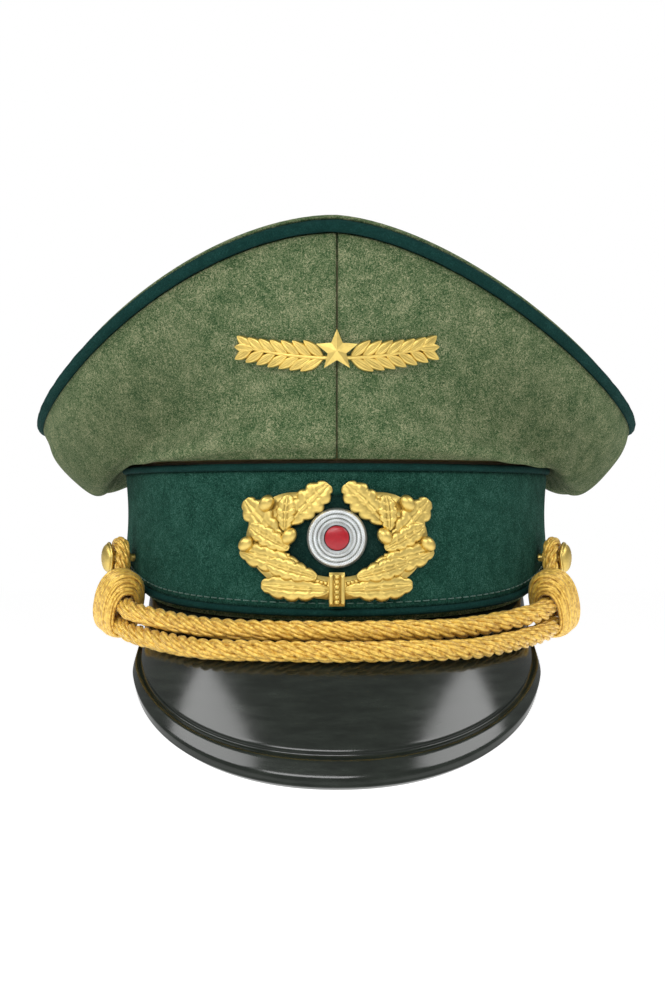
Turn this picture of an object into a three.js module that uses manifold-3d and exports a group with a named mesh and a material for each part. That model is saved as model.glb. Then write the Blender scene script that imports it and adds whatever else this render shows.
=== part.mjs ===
// Officer's peaked cap at real size, in millimetres.
// X runs across the cap, the front faces -Y and Z is up.  The origin is the middle of the head
// opening, level with the lower edge of the band at the back.
import * as THREE from 'three';
import { mergeVertices } from 'three/addons/utils/BufferGeometryUtils.js';
import Module from 'manifold-3d';

const wasm = await Module();
wasm.setup();

// ---------------------------------------------------------------- driving dimensions

const GAP = 0.3; // air left between neighbouring pieces
const DEGREE = Math.PI / 180;

// The band is an upright oval.  Every layer of it is measured as an offset from its outer face.
const BAND_HALF_WIDTH = 84.2;
const BAND_HALF_LENGTH = 104.5;
const BAND_STATIONS = 48;
const BAND_TOP = 45; // centre of the upper piping
const BAND_PIPING_RADIUS = 1.5;
const BAND_CLOTH = 1.0;
const UNDERLAY = 0.8;
const BASE_RING = 1.2;
const VISOR_FLANGE = 1.2;
const SWEATBAND = 0.8;

// The lower edge of the band dips over the visor and rises over the ears.
const LOWER_PIPING_BACK = 3.0;
const LOWER_PIPING_FRONT_DIP = 7.7;
const LOWER_PIPING_SIDE_RISE = 11.0;
const UNDERLAY_SHOWS = 3.0; // how far it reaches below the centre of the lower piping
const BASE_RING_SHORTER = 3.0; // how far the base ring stops above the underlay
const BASE_RING_TOP = 47;
const SWEATBAND_TOP = 42;
const SWEATBAND_LOWER = 0.8; // how far it hangs below the underlay

// The crown's edge is an oval set back from the band, high in front and low at the sides.
const CROWN_HALF_WIDTH = 119.2;
const CROWN_HALF_LENGTH = 128;
const CROWN_SET_BACK = 12;
const CROWN_FRONT_HEIGHT = 125;
const CROWN_SIDE_HEIGHT = 62;
const CROWN_BACK_HEIGHT = 80;
const CROWN_CENTRE_HEIGHT = 80;
const CROWN_FRONT_FALL = 1.67; // powers of the curves down from the front and back to the sides
const CROWN_BACK_FALL = 2;
const CROWN_CLOTH = 1.2;
const CROWN_PIPING_RADIUS = 2.1;
const CROWN_WIRE_RADIUS = 1.1;
const CROWN_WIRE_INSET = 4.4;
const SHOULDER_RISE = 4.2; // the top cloth rolls this far up behind the edge piping
const SHOULDER_REACH = 2.0;
const STIFFENER = 1.5;
const STIFFENER_STATIONS = 5; // band stations either side of the front seam

// Lining
const LINING = 0.5;
const LINING_HALF_WIDTH = BAND_HALF_WIDTH - 7.2;
const LINING_HALF_LENGTH = BAND_HALF_LENGTH - 10.5;
const LINING_DROP = 7; // below the top of the crown
const SHIELD = 0.4;
const SHIELD_HALF_WIDTH = 50;
const SHIELD_HALF_LENGTH = 64;

// Visor
const VISOR_STATIONS = 8; // band stations either side of the front
const VISOR_THICKNESS = 1.8;
const VISOR_FLANGE_HEIGHT = 12;
const VISOR_ROOT_RISE = 0.7; // its root starts this far above the underlay's lower edge
const VISOR_HALF_WIDTH = BAND_HALF_WIDTH - 11.2;
const VISOR_FORWARD = 73;
const VISOR_CENTRE_BACK = 66; // centre of the edge's oval, in front of the origin
const VISOR_EDGE_SPAN = 100 * DEGREE;
const VISOR_TIP_DROP = 58;
const VISOR_EDGE_RISE = 34;
const VISOR_EDGE_CURVE = 1.1;
const VISOR_BULGE = 4;
const VISOR_CORNER = 0.8; // the edge starts to run back to the band from here on
const LIP_HEIGHT = 1.5;
const LIP_GROOVE = 0.5;

// Chin cord
const CORD_RADIUS = 3.75;
const CORD_SEAT = 11; // how far down the visor the upper strand lies in front
const CORD_DROOP = 1.2; // how much further down it lies beside the front
const CORD_DROOP_ANGLE = 30 * DEGREE;
const LOOP_RADIUS = 3.0;
const LOOP_STAND_OFF = 5.0;
const KNOT_ANGLE = 57 * DEGREE;
const KNOT_STAND_OFF = 10.5;
const KNOT_HEIGHT = -7.1;
const KNOT_TILT = 12 * DEGREE;
const KNOT_HALF_LENGTH = 7;
const KNOT_HALF_WIDTH = 8.5;
const KNOT_HALF_TALL = 13.2;
const KNOT_RAISED = 3.4; // the knot's middle sits above the middle of the two strands
const STRAND_CLEARANCE = 0.4;

// Side buttons
const BUTTON_ANGLE = 66 * DEGREE;
const BUTTON_HEIGHT = 12;
const BUTTON_RADIUS = 6;
const BUTTON_HEAD = 3.4;
const SHANK_RADIUS = 1.5;
const SHANK_CLEARANCE = 0.3;

// Badges
const BADGE_BACKING = 0.8;
const WREATH_HALF_WIDTH = 33;
const WREATH_HALF_HEIGHT = 22.2;
const WREATH_HEIGHT = 20.2;
const WREATH_RELIEF = 2.6;
const WREATH_RIM = 0.8;
const WREATH_PRONG = 21;
const COCKADE_HEIGHT = 20.9;
const COCKADE_RADIUS = 10.2;
const COCKADE_CENTRE_RADIUS = 4.1;
const SPRAY_HALF_WIDTH = 34;
const SPRAY_HALF_HEIGHT = 9;
const SPRAY_HEIGHT = 84;
const SPRAY_RELIEF = 2.2;
const SPRAY_PRONG = 15;
const STAR_RADIUS = 7.5;
const PRONG_WIDTH = 2.4;
const PRONG_THICKNESS = 0.6;
const PRONG_FOLD = 7;

// Offsets of the band's layers, from the outer face inwards.
const UNDERLAY_FACE = -(BAND_CLOTH + GAP);
const BASE_FACE = UNDERLAY_FACE - UNDERLAY - GAP;
const FLANGE_FACE = BASE_FACE - BASE_RING - GAP;
const SWEATBAND_FACE = FLANGE_FACE - VISOR_FLANGE - 2 * GAP;

const STATION = (2 * Math.PI) / BAND_STATIONS;
const CROWN_SEAM = BAND_TOP + BAND_PIPING_RADIUS + GAP + 0.8;

const PAINT = {
  fieldGrey: { color: 0x83906e, roughness: 0.95, metalness: 0 },
  bottleGreen: { color: 0x1d5247, roughness: 0.95, metalness: 0 },
  pipingGreen: { color: 0x0f3a34, roughness: 0.85, metalness: 0 },
  lining: { color: 0xb59b63, roughness: 0.5, metalness: 0 },
  celluloid: { color: 0xd8cfa8, roughness: 0.2, metalness: 0 },
  leather: { color: 0x8a5a33, roughness: 0.6, metalness: 0 },
  board: { color: 0x6b5a45, roughness: 0.9, metalness: 0 },
  fibre: { color: 0x11140f, roughness: 0.15, metalness: 0 },
  steel: { color: 0xb9bcc0, roughness: 0.4, metalness: 1 },
  goldCord: { color: 0xd99a2e, roughness: 0.6, metalness: 0.2 },
  gilt: { color: 0xc9a94e, roughness: 0.4, metalness: 1 },
  silver: { color: 0xb9bdc4, roughness: 0.4, metalness: 1 },
  redEnamel: { color: 0xa8141f, roughness: 0.25, metalness: 0 },
  darkCloth: { color: 0x16332f, roughness: 0.95, metalness: 0 },
};

// ---------------------------------------------------------------- solids from outlines

// Turns points and triangles into one closed body with its faces outwards.
function closedBody(points, triangles) {
  const raw = new THREE.BufferGeometry();
  raw.setAttribute('position', new THREE.Float32BufferAttribute(points.flatMap((p) => p.toArray()), 3));
  raw.setIndex(triangles);
  return weld(raw);
}

function weld(geometry) {
  geometry.deleteAttribute('normal');
  geometry.deleteAttribute('uv');
  const merged = mergeVertices(geometry, 1e-4);
  const corners = [];
  for (let i = 0; i < merged.index.count; i += 3) {
    const [a, b, c] = [0, 1, 2].map((k) => merged.index.getX(i + k));
    if (a !== b && b !== c && c !== a) {
      corners.push(a, b, c);
    }
  }
  merged.setIndex(signedVolume(merged, corners) < 0 ? corners.reverse() : corners);
  merged.computeVertexNormals();
  return merged;
}

function signedVolume(geometry, corners) {
  const position = geometry.attributes.position;
  const at = (i) => new THREE.Vector3().fromBufferAttribute(position, corners[i]);
  let volume = 0;
  for (let i = 0; i < corners.length; i += 3) {
    volume += at(i).dot(at(i + 1).cross(at(i + 2))) / 6;
  }
  return volume;
}

// Joins equal outlines, one after the other.  Each outline goes out and comes back, so the two
// ends of an open run are closed by joining every point to the one across from it.
function loft(outlines, closed) {
  const count = outlines[0].length;
  const triangles = [];
  const spans = closed ? outlines.length : outlines.length - 1;
  for (let i = 0; i < spans; i += 1) {
    const here = i * count;
    const next = ((i + 1) % outlines.length) * count;
    for (let j = 0; j < count; j += 1) {
      const k = (j + 1) % count;
      triangles.push(here + j, here + k, next + k);
      triangles.push(here + j, next + k, next + j);
    }
  }
  if (!closed) {
    const last = (outlines.length - 1) * count;
    for (let j = 0; j < count / 2 - 1; j += 1) {
      const across = count - 1 - j;
      triangles.push(j + 1, j, across, j + 1, across, across - 1);
      triangles.push(last + j, last + j + 1, last + across);
      triangles.push(last + j + 1, last + across - 1, last + across);
    }
  }
  return closedBody(outlines.flat(), triangles);
}

// A sheet of even thickness.  layer(u, v, depth) gives the point `depth` under the sheet's face.
function sheet(layer, thickness, us, vs, closed) {
  const outlines = us.map((u) => [
    ...vs.map((v) => layer(u, v, 0)),
    ...[...vs].reverse().map((v) => layer(u, v, thickness)),
  ]);
  return loft(outlines, closed);
}

// The point under a surface, measured square to it.
function under(surface, u, v, depth) {
  const step = 1e-3;
  const across = surface(u + step, v).sub(surface(u - step, v));
  const along = surface(u, v + step).sub(surface(u, v - step));
  const normal = across.cross(along).normalize();
  return surface(u, v).addScaledVector(normal, -depth);
}

function spread(from, to, count) {
  return Array.from({ length: count + 1 }, (_, i) => from + ((to - from) * i) / count);
}

function circle(radius, sides) {
  return Array.from({ length: sides }, (_, i) => {
    const turn = (2 * Math.PI * (i + 0.5)) / sides;
    return new THREE.Vector2(radius * Math.cos(turn), radius * Math.sin(turn));
  });
}

// A round cord that closes on itself, such as a piping.
function ringCord(centre, radius, sides) {
  const outlines = spread(0, 2 * Math.PI, BAND_STATIONS).slice(0, -1).map((angle) => {
    const along = centre(angle + 1e-3).sub(centre(angle - 1e-3)).normalize();
    const out = along.clone().cross(new THREE.Vector3(0, 0, 1)).normalize();
    const up = out.clone().cross(along);
    return circle(radius, sides).map((p) =>
      centre(angle).addScaledVector(out, p.x).addScaledVector(up, p.y));
  });
  return loft(outlines, true);
}

// A round cord along a smooth open line.
function openCord(points, radius, steps, sides) {
  const path = new THREE.CatmullRomCurve3(points, false, 'centripetal');
  const shape = new THREE.Shape(circle(radius, sides));
  return weld(new THREE.ExtrudeGeometry(shape, { steps, extrudePath: path }));
}

function lathe(profile, sides) {
  const points = profile.map(([r, h]) => new THREE.Vector2(r, h));
  return weld(new THREE.LatheGeometry(points, sides));
}

function box(from, to) {
  const size = to.clone().sub(from);
  const geometry = new THREE.BoxGeometry(size.x, size.y, size.z);
  geometry.translate(...from.clone().add(to).multiplyScalar(0.5).toArray());
  return weld(geometry);
}

function mirrored(geometry) {
  return weld(geometry.clone().applyMatrix4(new THREE.Matrix4().makeScale(-1, 1, 1)));
}

function manifold(geometry) {
  return new wasm.Manifold(new wasm.Mesh({
    numProp: 3,
    vertProperties: new Float32Array(geometry.attributes.position.array),
    triVerts: new Uint32Array(geometry.index.array),
  }));
}

// Cuts each tool out of the body.
function cut(geometry, tools) {
  const left = tools.reduce((body, tool) => body.subtract(manifold(tool)), manifold(geometry));
  const mesh = left.getMesh();
  const result = new THREE.BufferGeometry();
  result.setAttribute('position', new THREE.Float32BufferAttribute(mesh.vertProperties, 3));
  result.setIndex([...mesh.triVerts]);
  return weld(result);
}

// ---------------------------------------------------------------- band

function bandPoint(angle, offset, height) {
  const x = BAND_HALF_WIDTH * Math.sin(angle);
  const y = -BAND_HALF_LENGTH * Math.cos(angle);
  const out = new THREE.Vector2(x / BAND_HALF_WIDTH ** 2, y / BAND_HALF_LENGTH ** 2).normalize();
  return new THREE.Vector3(x + out.x * offset, y + out.y * offset, height);
}

// A frame on the band: its X runs round the band to the right, its -Y points straight out.
function bandFrame(angle, height, standOff = 0) {
  const out = bandPoint(angle, 1, 0).sub(bandPoint(angle, 0, 0));
  const around = new THREE.Vector3(-out.y, out.x, 0);
  const frame = new THREE.Matrix4().makeBasis(around, out.negate(), new THREE.Vector3(0, 0, 1));
  return frame.setPosition(bandPoint(angle, standOff, height));
}

function lowerPiping(angle) {
  const dip = LOWER_PIPING_FRONT_DIP * Math.max(0, Math.cos(angle));
  const rise = LOWER_PIPING_SIDE_RISE * Math.sin(angle) ** 10;
  return LOWER_PIPING_BACK - dip + rise;
}

function lowerEdge(angle) {
  return lowerPiping(angle) - UNDERLAY_SHOWS;
}

function bandLayer(face, thickness, lower, upper) {
  const layer = (angle, v, depth) =>
    bandPoint(angle, face - depth, v === 0 ? lower(angle) : upper(angle));
  const angles = spread(0, 2 * Math.PI, BAND_STATIONS).slice(0, -1);
  return sheet(layer, thickness, angles, [0, 1], true);
}

function bandCloth() {
  const edge = BAND_PIPING_RADIUS + GAP;
  return bandLayer(0, BAND_CLOTH, (angle) => lowerPiping(angle) + edge, () => BAND_TOP - edge);
}

function bandUnderlay() {
  return bandLayer(UNDERLAY_FACE - 0.3, UNDERLAY, lowerEdge, () => BAND_TOP - BAND_PIPING_RADIUS - GAP);
}

function bandBaseRing() {
  return bandLayer(BASE_FACE - 0.3, BASE_RING - 0.3, (angle) => lowerEdge(angle) + BASE_RING_SHORTER,
    () => BASE_RING_TOP);
}

function sweatband() {
  return bandLayer(SWEATBAND_FACE, SWEATBAND, (angle) => lowerEdge(angle) - SWEATBAND_LOWER,
    () => SWEATBAND_TOP);
}

function bandPiping(height) {
  return ringCord((angle) => bandPoint(angle, 0, height(angle)), BAND_PIPING_RADIUS, 6);
}

// ---------------------------------------------------------------- crown

function crownEdge(angle) {
  const toEnd = Math.cos(angle) > 0 ? CROWN_FRONT_HEIGHT : CROWN_BACK_HEIGHT;
  const fall = Math.cos(angle) > 0 ? CROWN_FRONT_FALL : CROWN_BACK_FALL;
  const height = toEnd - (toEnd - CROWN_SIDE_HEIGHT) * Math.abs(Math.sin(angle)) ** fall;
  return new THREE.Vector3(
    CROWN_HALF_WIDTH * Math.sin(angle),
    CROWN_SET_BACK - CROWN_HALF_LENGTH * Math.cos(angle),
    height,
  );
}

// How the crown's wall runs from the band to the edge, in seven steps: how far across it has come,
// as a share of the whole, and how far it hangs below the straight line.
const FRONT_WALL = [
  [0.05, 0], [0.28, 4.1], [0.40, 4.6], [0.49, 3.6], [0.61, 2.1], [0.78, 0.5], [0.965, 0],
];
const SIDE_WALL = [
  [0.03, 0], [0.11, 7], [0.23, 14.2], [0.41, 17.6], [0.65, 14.4], [0.88, 7.4], [0.989, 0],
];
const BACK_WALL = [
  [0.017, 0], [0.225, 2.8], [0.437, 3.9], [0.62, 3.6], [0.775, 2.8], [0.9, 1.4], [0.989, 0],
];

function crownWall(angle, v) {
  const edge = crownEdge(angle);
  edge.z -= CROWN_PIPING_RADIUS + GAP;
  const seam = bandPoint(angle, 0, CROWN_SEAM);
  const sideShare = Math.abs(Math.sin(angle)) ** 2.5;
  const endWall = Math.cos(angle) > 0 ? FRONT_WALL : BACK_WALL;
  const points = SIDE_WALL.map(([across, hang], k) => {
    const share = THREE.MathUtils.lerp(endWall[k][0], across, sideShare);
    const point = seam.clone().lerp(edge, share);
    point.z = THREE.MathUtils.lerp(seam.z, edge.z, k / (SIDE_WALL.length - 1));
    point.z -= THREE.MathUtils.lerp(endWall[k][1], hang, sideShare);
    return point;
  });
  return new THREE.CatmullRomCurve3(points, false, 'catmullrom', 0.5).getPoint(v);
}

function crownWallPanel(fromStation, toStation) {
  const seamGap = 0.15 / BAND_HALF_WIDTH;
  const angles = spread(fromStation * STATION, toStation * STATION, toStation - fromStation);
  angles[0] += seamGap;
  angles[angles.length - 1] -= seamGap;
  const layer = (angle, v, depth) => under(crownWall, angle, v, depth);
  return sheet(layer, CROWN_CLOTH, angles, spread(0.001, 0.999, 9), false);
}

function frontStiffener() {
  const angles = spread(-STIFFENER_STATIONS * STATION, STIFFENER_STATIONS * STATION, 2 * STIFFENER_STATIONS);
  const face = CROWN_CLOTH + 2 * GAP;
  const layer = (angle, v, depth) => under(crownWall, angle, v, face + depth);
  return sheet(layer, STIFFENER, angles, spread(0.06, 0.9, 6), false);
}

// Height of the stretched top cloth over a point of the plan, without its rolled shoulder.
function saddle(x, y) {
  const acrossShare = x / CROWN_HALF_WIDTH;
  const forwardShare = (CROWN_SET_BACK - y) / CROWN_HALF_LENGTH;
  const share = Math.hypot(acrossShare, forwardShare);
  const angle = Math.atan2(acrossShare, forwardShare);
  const here = crownEdge(angle).z;
  const opposite = crownEdge(Math.PI - angle).z;
  const even = (here + opposite) / 2;
  const odd = (here - opposite) / 2;
  return CROWN_CENTRE_HEIGHT * (1 - share ** 2) + even * share ** 2 + odd * share;
}

function crownTop(angle, inset) {
  const edge = crownEdge(angle);
  const centre = new THREE.Vector3(0, CROWN_SET_BACK, 0);
  const reach = Math.hypot(edge.x - centre.x, edge.y - centre.y);
  const share = Math.min(inset / reach, 1);
  const x = THREE.MathUtils.lerp(edge.x, centre.x, share);
  const y = THREE.MathUtils.lerp(edge.y, centre.y, share);
  const shoulder = SHOULDER_RISE * (1 - Math.exp(-inset / SHOULDER_REACH));
  return new THREE.Vector3(x, y, saddle(x, y) + CROWN_PIPING_RADIUS + GAP + shoulder);
}

function crownTopPanel() {
  const angles = spread(0, 2 * Math.PI, BAND_STATIONS).slice(0, -1);
  const insets = [0.5, 1.5, 3.2, 7, 20, 60, CROWN_HALF_LENGTH];
  const layer = (angle, inset, depth) => {
    if (inset >= CROWN_HALF_LENGTH) {
      return crownTop(angle, inset).add(new THREE.Vector3(0, 0, -depth));
    }
    return under(crownTop, angle, inset, depth);
  };
  return sheet(layer, CROWN_CLOTH, angles, insets, true);
}

function crownWire() {
  const centre = (angle) => {
    const edge = crownEdge(angle);
    const inwards = new THREE.Vector3(-edge.x, CROWN_SET_BACK - edge.y, 0).normalize();
    return edge.addScaledVector(inwards, CROWN_WIRE_INSET);
  };
  return ringCord(centre, CROWN_WIRE_RADIUS, 5);
}

// ---------------------------------------------------------------- lining

function liningPoint(angle, share, depth) {
  const x = LINING_HALF_WIDTH * share * Math.sin(angle);
  const y = -LINING_HALF_LENGTH * share * Math.cos(angle);
  return new THREE.Vector3(x, y, saddle(x, y) - LINING_DROP - depth);
}

function liningTop() {
  const angles = spread(0, 2 * Math.PI, BAND_STATIONS / 2).slice(0, -1);
  return sheet(liningPoint, LINING, angles, [1, 0.8, 0.5, 0.25, 0], true);
}

function liningWall() {
  const layer = (angle, v, depth) => {
    const low = bandPoint(angle, SWEATBAND_FACE - 0.1 - depth, SWEATBAND_TOP + GAP);
    const high = liningPoint(angle, 1 - depth / LINING_HALF_WIDTH, LINING + GAP);
    return low.lerp(high, v);
  };
  const angles = spread(0, 2 * Math.PI, BAND_STATIONS / 2).slice(0, -1);
  return sheet(layer, LINING, angles, [0, 1], true);
}

// A diamond of clear sheet under the middle of the lining.
function sweatShield() {
  const layer = (u, v, depth) => {
    const x = SHIELD_HALF_WIDTH * (u - v);
    const y = SHIELD_HALF_LENGTH * (u + v - 1);
    return new THREE.Vector3(x, y, saddle(x, y) - LINING_DROP - LINING - 1.6 - depth);
  };
  return sheet(layer, SHIELD, spread(0, 1, 6), spread(0, 1, 6), false);
}

// ---------------------------------------------------------------- visor

function visorRoot(u) {
  const angle = u * VISOR_STATIONS * STATION;
  return bandPoint(angle, FLANGE_FACE, lowerEdge(angle) + VISOR_ROOT_RISE);
}

function visorEdge(u) {
  const turn = u * VISOR_EDGE_SPAN;
  const rise = VISOR_EDGE_RISE * (1 - Math.cos(turn)) ** VISOR_EDGE_CURVE;
  const edge = new THREE.Vector3(
    VISOR_HALF_WIDTH * Math.sin(turn),
    -VISOR_CENTRE_BACK - VISOR_FORWARD * Math.cos(turn),
    rise - VISOR_TIP_DROP,
  );
  const corner = THREE.MathUtils.smoothstep(Math.abs(u), VISOR_CORNER, 1.2);
  return edge.lerp(visorRoot(u), corner);
}

function visorFace(u, v) {
  const point = visorRoot(u).lerp(visorEdge(u), v);
  point.z += VISOR_BULGE * 4 * v * (1 - v) * Math.cos(u * VISOR_EDGE_SPAN * 0.5);
  return point;
}

// Height of the raised lip over the plain face of the visor; it dies out towards the corners.
function lip(u, v) {
  const groove = Math.exp(-(((v - 0.85) / 0.014) ** 2));
  const bead = THREE.MathUtils.smoothstep(v, 0.86, 0.9) * (1 - THREE.MathUtils.smoothstep(v, 0.95, 1.01));
  const fade = 1 - THREE.MathUtils.smoothstep(Math.abs(u), VISOR_CORNER, 1);
  return fade * (LIP_HEIGHT * bead - LIP_GROOVE * groove);
}

function visor() {
  const shares = [-1, 0, 0.1, 0.25, 0.4, 0.55, 0.7, 0.8, 0.85, 0.88, 0.91, 0.95, 0.98, 1];
  const layer = (u, v, depth) => {
    const angle = u * VISOR_STATIONS * STATION;
    const flangeDepth = (depth * VISOR_FLANGE) / VISOR_THICKNESS;
    if (v < 0) {
      return bandPoint(angle, FLANGE_FACE - flangeDepth, visorRoot(u).z + VISOR_FLANGE_HEIGHT);
    }
    if (v === 0) {
      return bandPoint(angle, FLANGE_FACE - flangeDepth, visorRoot(u).z - depth * 0.8);
    }
    return under(visorFace, u, v, depth === 0 ? lip(u, v) : -depth);
  };
  const us = spread(-1, 1, 2 * VISOR_STATIONS);
  return sheet(layer, VISOR_THICKNESS, us, shares, false);
}

// ---------------------------------------------------------------- chin cord

// A point of a cord that lies on the visor, `seat` millimetres down from its root.
function onVisor(angle, seat) {
  const u = angle / (VISOR_STATIONS * STATION);
  const length = visorRoot(u).distanceTo(visorEdge(u));
  return under(visorFace, u, seat / length, CORD_RADIUS + GAP + 0.15);
}

function knotFrame() {
  const frame = bandFrame(KNOT_ANGLE, KNOT_HEIGHT, KNOT_STAND_OFF);
  return frame.multiply(new THREE.Matrix4().makeRotationY(-KNOT_TILT));
}

function inFrame(frame, x, y, z) {
  return new THREE.Vector3(x, y, z).applyMatrix4(frame);
}

const STRAND_PITCH = 2 * CORD_RADIUS + GAP;
const SLIDE_RUN = 14; // straight stretch of the strands in front of each knot's middle
const STRAND_END = -1; // the strands stop just behind the knot's mouth

// One of the two strands; row 0 is the upper one.
function strand(row) {
  const height = STRAND_PITCH * (0.5 - row);
  const run = [STRAND_END, -KNOT_HALF_LENGTH, -SLIDE_RUN].map((x) => inFrame(knotFrame(), x, 0, height));
  const nest = [CORD_DROOP_ANGLE, CORD_DROOP_ANGLE / 2].map((angle) => {
    const droop = CORD_DROOP * (angle / CORD_DROOP_ANGLE) ** 2;
    return onVisor(angle, CORD_SEAT + droop + row * (STRAND_PITCH + 1.4));
  });
  const middle = onVisor(0, CORD_SEAT + row * (STRAND_PITCH + 1.4));
  const right = [...run, ...nest];
  const left = right.map((p) => new THREE.Vector3(-p.x, p.y, p.z)).reverse();
  return openCord([...right, middle, ...left], CORD_RADIUS, 34, 8);
}

// The loop runs out of the knot, round the button's shank and back into the knot.
function cordLoop() {
  const knot = knotFrame();
  const button = bandFrame(BUTTON_ANGLE, BUTTON_HEIGHT, LOOP_STAND_OFF);
  const turn = SHANK_RADIUS + LOOP_RADIUS + 0.6;
  const half = STRAND_PITCH / 2;
  const start = STRAND_END + 3 * GAP;
  const arc = [180, 130, 85, 40, 0, -35].map((degrees) =>
    inFrame(button, turn * Math.cos(degrees * DEGREE), 0, turn * Math.sin(degrees * DEGREE)));
  const points = [
    inFrame(knot, start, 0, half),
    inFrame(knot, start + 4, 0.2, half + 0.6),
    inFrame(button, -turn - 2, -1.2, -6),
    ...arc,
    inFrame(button, -2.5, -1.6, -12.5),
    inFrame(knot, start + 4, 0.2, -half),
    inFrame(knot, start, 0, -half),
  ];
  return openCord(points, LOOP_RADIUS, 24, 7);
}

// A wound knot: a thick hood over both strands, open behind where the loop comes in.
function slideKnot() {
  const frame = knotFrame();
  const middle = KNOT_RAISED;
  const outline = (x, swell) => circle(1, 14).map((p) => {
    const y = Math.sign(p.x) * Math.abs(p.x) ** 0.8 * KNOT_HALF_WIDTH * swell;
    const z = Math.sign(p.y) * Math.abs(p.y) ** 0.8 * KNOT_HALF_TALL * swell;
    return inFrame(frame, x, y, middle + z);
  });
  const swells = [[-1, 0.86], [-0.72, 0.96], [-0.2, 1], [0.4, 1], [0.8, 0.97], [1, 0.92]];
  const hood = loft(swells.map(([share, swell]) => outline(share * KNOT_HALF_LENGTH, swell)), false);
  const bore = CORD_RADIUS + STRAND_CLEARANCE;
  const channels = [1, -1].map((side) => {
    const hole = new THREE.CylinderGeometry(bore, bore, 2 * KNOT_HALF_LENGTH, 16);
    hole.rotateZ(Math.PI / 2);
    hole.translate(-KNOT_HALF_LENGTH, 0, (side * STRAND_PITCH) / 2);
    return weld(hole).applyMatrix4(frame);
  });
  const pocket = box(
    new THREE.Vector3(-2.5, -bore, -STRAND_PITCH / 2 - bore),
    new THREE.Vector3(KNOT_HALF_LENGTH + 1, bore + 1.4, 11.2),
  );
  return cut(hood, [...channels, pocket.applyMatrix4(frame)]);
}

// ---------------------------------------------------------------- side buttons

function buttonHead() {
  const low = LOOP_STAND_OFF + LOOP_RADIUS + 2 * GAP;
  const profile = [
    [0, low], [5.2, low], [BUTTON_RADIUS, low + 0.5], [BUTTON_RADIUS, low + 1],
    [5.1, low + 2], [3, low + 3], [0, low + BUTTON_HEAD],
  ];
  const head = lathe(profile, 20);
  // the lathe turns about Y, and straight out of the band is -Y
  head.rotateX(Math.PI);
  return head.applyMatrix4(bandFrame(BUTTON_ANGLE, BUTTON_HEIGHT));
}

// The shank is riveted through the band's layers behind the button.
function buttonShank() {
  const outer = LOOP_STAND_OFF + LOOP_RADIUS;
  const flange = BASE_FACE - BASE_RING - 0.4;
  const profile = [
    [0, flange - 0.7], [3.4, flange - 0.7], [3.4, flange], [SHANK_RADIUS, flange],
    [SHANK_RADIUS, outer], [0, outer],
  ];
  const shank = lathe(profile, 12);
  shank.rotateX(Math.PI);
  return shank.applyMatrix4(bandFrame(BUTTON_ANGLE, BUTTON_HEIGHT));
}

// The holes for both shanks through the band.
function shankHoles() {
  const reach = 20;
  const hole = new THREE.CylinderGeometry(
    SHANK_RADIUS + SHANK_CLEARANCE, SHANK_RADIUS + SHANK_CLEARANCE, reach, 12);
  const right = weld(hole).applyMatrix4(bandFrame(BUTTON_ANGLE, BUTTON_HEIGHT));
  return [right, mirrored(right)];
}

// ---------------------------------------------------------------- badges

// Lays a flat badge point on the front of the band: x across, z up, out from the cloth.
function onBand(x, z, out) {
  return bandPoint(Math.asin(x / BAND_HALF_WIDTH), out, z);
}

// The crown wall's own (angle, v) at a given place seen from the front.
function crownWallAt(x, z) {
  let angle = Math.asin(x / CROWN_HALF_WIDTH);
  let v = (z - CROWN_SEAM) / (CROWN_FRONT_HEIGHT - CROWN_SEAM);
  for (let round = 0; round < 12; round += 1) {
    const point = crownWall(angle, v);
    angle += (x - point.x) / BAND_HALF_WIDTH;
    v += (z - point.z) / (CROWN_FRONT_HEIGHT - CROWN_SEAM);
  }
  return [angle, v];
}

function onCrown(x, z, out) {
  const [angle, v] = crownWallAt(x, z);
  return under(crownWall, angle, v, -out);
}

const BACKING_FACE = 2 * GAP + BADGE_BACKING;
const METAL_BACK = BACKING_FACE + 1.5 * GAP;

// A horseshoe of leaves, open at the top.
function wreath() {
  const tip = 163 * DEGREE;
  const outlines = spread(-tip, tip, 44).map((turn) => {
    const share = Math.abs(turn) / tip;
    const taper = Math.sqrt(Math.max(0, 1 - share ** 8)) * 0.96 + 0.04;
    const outer = 1 - 0.05 * Math.cos(turn * 14);
    const inner = 0.54 + 0.06 * share + 0.04 * Math.cos(turn * 18);
    const middle = (outer + inner) / 2;
    const half = ((outer - inner) / 2) * taper;
    const place = (radius, out) => onBand(
      WREATH_HALF_WIDTH * radius * Math.sin(turn),
      WREATH_HEIGHT - WREATH_HALF_HEIGHT * radius * Math.cos(turn),
      METAL_BACK + out,
    );
    return [
      place(middle - half, 0),
      place(middle - half, WREATH_RIM),
      place(middle - half * 0.5, WREATH_RELIEF * 0.85),
      place(middle, WREATH_RELIEF),
      place(middle + half * 0.5, WREATH_RELIEF * 0.85),
      place(middle + half, WREATH_RIM),
      place(middle + half, 0),
      place(middle, 0),
    ];
  });
  return loft(outlines, false);
}

// The dark cloth that shows inside the wreath.
function wreathBacking() {
  const layer = (turn, share, depth) => onBand(
    23 * share * Math.sin(turn),
    COCKADE_HEIGHT - 1 + 15.5 * share * Math.cos(turn),
    BACKING_FACE - depth,
  );
  return sheet(layer, BADGE_BACKING, spread(0, 2 * Math.PI, 24).slice(0, -1), [1, 0.5, 0], true);
}

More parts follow.
